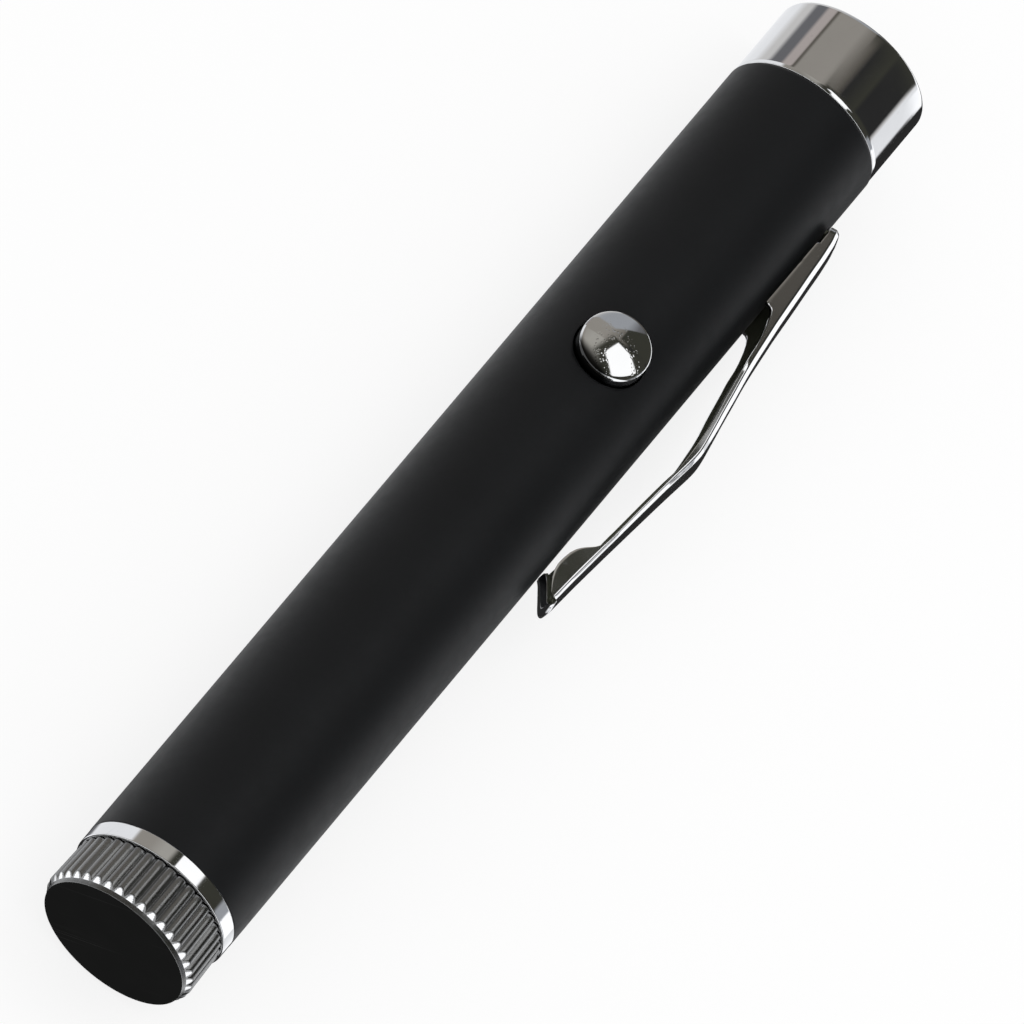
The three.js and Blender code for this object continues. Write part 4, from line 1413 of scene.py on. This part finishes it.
    def build(self) -> None:
        """Makes the clip: the outer face gets the sheet's thickness and softened edges."""
        sheet = self.surface()
        piece = make_piece(
            "pressed_clip", sheet, Body.CLIP, CHROME, SHADED_INNER, node="pocket_clip", slot="chrome"
        )
        mesh = bmesh.new()
        mesh.from_mesh(piece.data)
        bmesh.ops.remove_doubles(mesh, verts=mesh.verts, dist=0.000001)
        bmesh.ops.recalc_face_normals(mesh, faces=mesh.faces)
        top = max(mesh.faces, key=lambda face: face.calc_center_median().x)
        if top.normal.x < 0:
            bmesh.ops.reverse_faces(mesh, faces=mesh.faces)
        mesh.to_mesh(piece.data)
        mesh.free()
        solid = piece.modifiers.new("sheet", "SOLIDIFY")
        # The sheet's inner side takes the dark inner finish, painted shade.
        solid.thickness, solid.offset, solid.material_offset = self.sheet * MM, -1.0, 1
        bevel = piece.modifiers.new("edges", "BEVEL")
        bevel.width, bevel.segments = 0.07 * MM, 2
        bevel.limit_method, bevel.angle_limit = "ANGLE", math.radians(50)
        make_piece("clip_foot", self.foot(), Body.CLIP, SHADED_INNER)


# Camera, light and floor


class Tone(Enum):
    """Cloths and boards of the reflection tent, as linear light."""

    WHITE = (1.35, 1.36, 1.38)
    PALE = (0.94, 0.95, 0.97)
    SILVER = (0.66, 0.65, 0.64)
    MAUVE = (0.47, 0.42, 0.4)
    SAND = (0.42, 0.405, 0.37)
    BLUE = (0.37, 0.385, 0.41)
    WARM = (0.325, 0.305, 0.275)
    SLATE = (0.16, 0.16, 0.17)
    UMBER = (0.12, 0.11, 0.095)
    TAUPE = (0.08, 0.074, 0.064)
    BROWN = (0.045, 0.045, 0.036)
    BLACK = (0.026, 0.026, 0.026)


Bands = tuple[tuple[float | Tone, ...], ...]


@dataclass
class ReflectionTent:
    """A wide tube of pale and dark cloth round the pen that only mirror reflections see.

    Its bands run along the pen and change at a few stations, as the boards round a product table
    do. The bands' bearings are degrees from straight up towards the clip's side; other bearings
    are shares of a turn from straight down. The soft box shows in it as a bright window with a
    dark frame.
    """

    radius: float = 0.34
    ends: Pair = (-0.66, 1.3)
    nose_stage: Pair = (0.195, 0.2)
    near_stage: Pair = (-0.03, 0.13)
    far_stage: Pair = (0.34, 0.37)
    far_slant: Pair = (0.46, 3.4)
    front_edge: float = -0.14
    front_bow: float = 1.59
    front_soft: float = 0.02
    front_depths: Pair = (-0.26, -0.23)
    dark_sides: tuple[Pair, Pair] = ((0.494, 0.5), (0.75, 0.74))
    nose_gap: tuple[float, Pair] = (0.282, (0.011, 0.015))
    board_start: Pair = (0.12, 0.125)
    board_sides: Pair = (94 / 360 + 0.5, 131 / 360 + 0.5)
    board_soft: float = 0.01
    ring_gap: tuple[float, Pair] = (0.1872, (0.004, 0.0055))
    ring_gap_side: Pair = (0.828, 0.836)
    window: Line = ((0.115, -5.5), (0.245, -0.5), (0.236, 18.0), (0.16, 38.0), (0.01, 20.0))
    window_pulls: tuple[float, ...] = (1.0, 2.5, 1.0, 1.0, 1.0)
    window_light: float = 1.32
    window_edge: Pair = (-0.004, 0.004)
    frame_width: Pair = (-0.085, -0.035)
    tail_bands: Bands = (
        (-180, -152, Tone.SLATE), (-142, -72, Tone.PALE), (-67, -45, Tone.WARM),
        (-28, -8, Tone.SAND), (2, 74, Tone.BROWN), (79, 104, Tone.BLUE), (113, Tone.SLATE),
        (118, Tone.SILVER), (136, Tone.PALE), (180, Tone.WHITE),
    )
    nose_bands: Bands = (
        (-180, -128, Tone.PALE), (-112, -102, Tone.SILVER), (-94, -80, Tone.SLATE),
        (-75, -64, Tone.MAUVE), (-62, -60, Tone.UMBER), (-57, -18, Tone.WARM), (6, Tone.UMBER),
        (14, Tone.BLACK), (38, Tone.BROWN), (44, 83, Tone.BLACK), (88, Tone.SILVER),
        (91, 121, Tone.PALE), (126, 180, Tone.BLACK),
    )
    far_bands: Bands = (
        (-180, Tone.PALE), (-80, Tone.SILVER), (-35, -5, Tone.BLUE), (12, Tone.SLATE),
        (50, Tone.BROWN), (95, Tone.BLUE), (130, 180, Tone.SLATE),
    )
    near_bands: Bands = (
        (-180, -120, Tone.BLACK), (-100, Tone.SLATE), (-62, Tone.UMBER), (-40, -4, Tone.TAUPE),
        (6, Tone.BLACK), (60, Tone.BROWN), (80, Tone.UMBER), (90, 112, Tone.SLATE),
        (122, 180, Tone.BLACK),
    )
    front_bands: Bands = (
        (-180, -150, Tone.BLACK), (-140, 140, Tone.WHITE), (150, 180, Tone.BLACK),
    )

    @staticmethod
    def ramp(nodes: Nodes, bearing: Socket, bands: Bands) -> Socket:
        """A ring of bands with soft joints.

        Args:
            nodes: the material's tree.
            bearing: the turn as a share, 0 to 1 for -180 to 180 degrees.
            bands: the bearing of each band, or its first and last one, and its tone.

        Returns:
            The colour socket.
        """
        made = nodes.add("ValToRGB", {0: bearing})
        elements = made.node.color_ramp.elements
        stops = [(degrees / 360 + 0.5, tone) for *ends, tone in bands for degrees in ends]
        for index, (position, tone) in enumerate(stops):
            element = elements[index] if index < 2 else elements.new(position)
            element.position, element.color = position, (*tone.value, 1.0)
        return made

    def into_window(self, nodes: Nodes, bearing: Socket, y: Socket) -> Socket:
        """How far a place of the tent lies inside the window: the least distance to its sides.

        Each side is a straight line in the tent's flat plan of arc length and station. A side's
        distance counts more where its pull is greater, which keeps the frame narrow there.

        Args:
            nodes: the material's tree.
            bearing: the turn as a share.
            y: the station in metres.

        Returns:
            The distance in metres, below nothing outside.
        """
        round_length = TURN * self.radius
        least: object = 1.0
        corners = [(station, degrees / 360 + 0.5) for station, degrees in self.window]
        sides = zip(corners, corners[1:] + corners[:1], self.window_pulls)
        for (station, turn), (next_station, next_turn), pull in sides:
            rise, run = next_station - station, (next_turn - turn) * round_length
            length = math.hypot(rise, run) / pull
            shift = (run * station - rise * turn * round_length) / length
            part = nodes.math("MULTIPLY_ADD", y, -run / length, shift)
            part = nodes.math("MULTIPLY_ADD", bearing, rise * round_length / length, part)
            least = nodes.math("MINIMUM", least, part)
        return least

    @staticmethod
    def away(nodes: Nodes, y: Socket, gap: tuple[float, Pair]) -> Socket:
        """How far a station lies outside a gap.

        Args:
            nodes: the material's tree.
            y: the station in metres.
            gap: its middle, and how far from it the edge begins and ends.

        Returns:
            A socket from 0 in the gap to 1 outside.
        """
        middle, edges = gap
        off = nodes.math("ABSOLUTE", nodes.math("SUBTRACT", y, middle))
        return nodes.between(off, *edges)

    def material(self) -> bpy.types.Material:
        """The glowing cloth: bands by bearing, mixed from one stage to the next along the pen.

        Returns:
            The material.
        """
        made = bpy.data.materials.new("tent_cloth")
        nodes = Nodes(made)
        between, times, mixed = nodes.between, nodes.times, nodes.mixed
        where = nodes.add("TexCoord", {}, "Object")
        x, y, z = nodes.add("SeparateXYZ", {0: where}).node.outputs
        bearing = nodes.math("MULTIPLY_ADD", nodes.math("ARCTAN2", x, z), 1 / TURN, 0.5)
        bands = (self.tail_bands, self.nose_bands, self.far_bands, self.near_bands)
        tail, nose, far, near = (self.ramp(nodes, bearing, row) for row in bands)
        on_nose = between(y, *self.nose_stage)
        main = mixed(on_nose, tail, nose)
        # Right of the middle it is dark but for the strip of stations that the nose mirrors.
        away = self.away(nodes, y, self.nose_gap)
        dark = times(away, on_nose, *(between(bearing, *side) for side in self.dark_sides))
        main = mixed(dark, main, Tone.BROWN.value)
        # The far stage starts later to the right, along a slanting edge.
        turn, rise = self.far_slant
        slant = nodes.math("MAXIMUM", nodes.math("SUBTRACT", bearing, turn), 0.0)
        edge = nodes.math("SUBTRACT", y, times(slant, rise))
        main = mixed(between(edge, *self.far_stage), main, far)
        # A white board farther to the right, left out where the nose and the ring would mirror it.
        (low, high), soft = self.board_sides, self.board_soft
        clear = between(bearing, *self.ring_gap_side)
        clear = nodes.math("MAXIMUM", self.away(nodes, y, self.ring_gap), clear)
        sides = between(bearing, low, low + soft), between(bearing, high, high - soft)
        board = times(away, clear, between(y, *self.board_start), *sides)
        main = mixed(board, main, Tone.WHITE.value)
        main = mixed(between(y, *self.near_stage), near, main)
        inside = self.into_window(nodes, bearing, y)
        main = mixed(between(inside, *self.frame_width), main, Tone.BROWN.value)
        main = mixed(between(inside, *self.window_edge), main, (self.window_light,) * 3)
        # The white front begins nearer to the pen the farther it lies round to the sides.
        off = nodes.math("SUBTRACT", bearing, 0.5)
        bow = times(off, off, self.front_bow)
        behind = nodes.math("SUBTRACT", nodes.math("SUBTRACT", y, self.front_edge), bow)
        front = self.ramp(nodes, bearing, self.front_bands)
        front = mixed(between(behind, *self.front_depths), Tone.BLACK.value, front)
        main = mixed(between(behind, -self.front_soft, 0.0), front, main)
        nodes.add("OutputMaterial", {0: nodes.add("Emission", {"Color": main})})
        return made

    def build(self) -> None:
        """Makes the tube and hides it from everything but mirror reflections."""
        angle = np.linspace(0, TURN, 96, endpoint=False)
        rings = around(self.radius, np.linspace(*self.ends, 25)[:, None], angle)
        tent = stage_piece("reflection_tent", rings, grid_faces(25, 96), self.material())
        tent.data.shade_smooth()
        for kind in ("camera", "diffuse", "transmission", "volume_scatter", "shadow"):
            setattr(tent, "visible_" + kind, False)


@dataclass
class Studio:
    """A pale floor, one soft box over the pen, an even sky and the camera."""

    camera_place: Triple = (0.0, -0.619551, 1.238712)
    camera_right: Triple = (0.76501241, 0.56574225, 0.3077202)
    camera_down: Triple = (0.64401377, -0.67315204, -0.36347297)
    camera_ahead: Triple = (0.00151046, 0.47623738, -0.87931546)
    camera_clip: Pair = (0.05, 20.0)
    focal_pixels: float = 18000.0
    frame_pixels: float = 1024.0
    sensor: float = 36.0
    floor_height: float = -7.02
    floor_size: float = 6.0
    floor_tone: float = 0.97
    floor_white: float = 0.8
    box_place: Triple = (0.092, 0.124, 0.284)
    box_size: Pair = (0.205, 0.125)
    box_turn: float = -24.0
    box_glow: float = 1.7
    sky: float = 0.88

    def camera(self) -> None:
        """Places the camera by its fitted axes; its lens follows from its focal length."""
        data = bpy.data.cameras.new("photo_view")
        data.sensor_width = self.sensor
        data.lens = self.focal_pixels / self.frame_pixels * self.sensor
        data.clip_start, data.clip_end = self.camera_clip
        view = linked("photo_view", data)
        axes = Vector(self.camera_right), -Vector(self.camera_down), -Vector(self.camera_ahead)
        turn = Matrix(axes).transposed().to_4x4()
        view.matrix_world = Matrix.Translation(self.camera_place) @ turn
        bpy.context.scene.camera = view

    def floor(self) -> None:
        """A wide pale floor under the pen, whitened for the camera, with the pen's shadow on it."""
        material = bpy.data.materials.new("pale_floor")
        nodes = Nodes(material)
        board = nodes.add("BsdfDiffuse", {"Color": (self.floor_tone,) * 3})
        glow = nodes.add("Emission", {"Color": (1.0,) * 3})
        path = nodes.add("LightPath", {}).node.outputs
        seen = nodes.math("MAXIMUM", path["Is Camera Ray"], path["Is Transmission Ray"])
        seen = nodes.math("MAXIMUM", seen, path["Is Glossy Ray"])
        mix = nodes.add("MixShader", {0: nodes.times(seen, self.floor_white), 1: board, 2: glow})
        nodes.add("OutputMaterial", {0: mix})
        half, height = self.floor_size / 2, self.floor_height * MM
        corners = [(x * half, y * half, height) for x, y in ((-1, -1), (1, -1), (1, 1), (-1, 1))]
        floor = stage_piece("pale_floor", np.array(corners), np.arange(4)[None], material)
        floor.visible_glossy = False

    def soft_box(self) -> None:
        """The one soft box, level over the pen."""
        data = bpy.data.lights.new("soft_box", "AREA")
        data.shape = "RECTANGLE"
        data.size, data.size_y = self.box_size
        data.energy = self.box_glow * self.box_size[0] * self.box_size[1] * math.pi
        lamp = linked("soft_box", data)
        lamp.location = self.box_place
        lamp.rotation_euler = (0.0, 0.0, math.radians(self.box_turn))
        lamp.visible_glossy = False

    def world(self) -> None:
        """An even white sky; a mirror reflection that leaves the tent's ends sees a dark room."""
        world = bpy.context.scene.world = bpy.data.worlds.new("room")
        nodes = Nodes(world)
        sky = nodes.add("Background", {"Color": (1.0,) * 3, "Strength": self.sky})
        room = nodes.add("Background", {"Color": Tone.UMBER.value})
        mirrored = nodes.add("LightPath", {}, "Is Glossy Ray")
        mix = nodes.add("MixShader", {0: mirrored, 1: sky, 2: room})
        nodes.add("OutputWorld", {0: mix})

    def build(self) -> None:
        """Sets up the camera, the floor, the lamp and the sky."""
        self.camera()
        self.floor()
        self.soft_box()
        self.world()
        bpy.context.scene.view_settings.view_transform = "Standard"


NODE_FINISHES: dict[Finish, str] = {
    FIBRE: "battery_liner contact_disc board_tray",
    CELL_STEEL: "battery_can battery_nub switch_cover pump_diode",
    FILM: "battery_jacket",
    BRASS: "positive_contact module_housing diode_holder crystal_holder lens_retainer",
    BOARD: "driver_board",
    BLACK_PLASTIC: "switch_body switch_stem driver_chip",
    ALUMINIUM: "trimmer lens_barrel",
    FERRITE: "inductor",
    CERAMIC: "input_capacitor output_capacitor",
    CRYSTAL: "laser_crystal",
    CLEAR: "expander_lens collimating_lens output_window",
    FILTER: "infrared_filter",
}


def dress_nodes() -> None:
    """Gives each CAD node that stays its finish."""
    for finish, names in NODE_FINISHES.items():
        for name in names.split():
            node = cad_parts[name]
            node.data.materials.clear()
            node.data.materials.append(finish.material())
            log.info("%s keeps its CAD shape, in %s", name, finish.name)


def main() -> None:
    logging.basicConfig(level=logging.INFO, format="%(message)s", stream=sys.stdout)
    Studio().build()
    ReflectionTent().build()
    for part in (TailEnd(), Barrel(), PushButton(), PocketClip()):
        part.build()
    dress_nodes()
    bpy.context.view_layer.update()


if __name__ == "__main__":
    main()
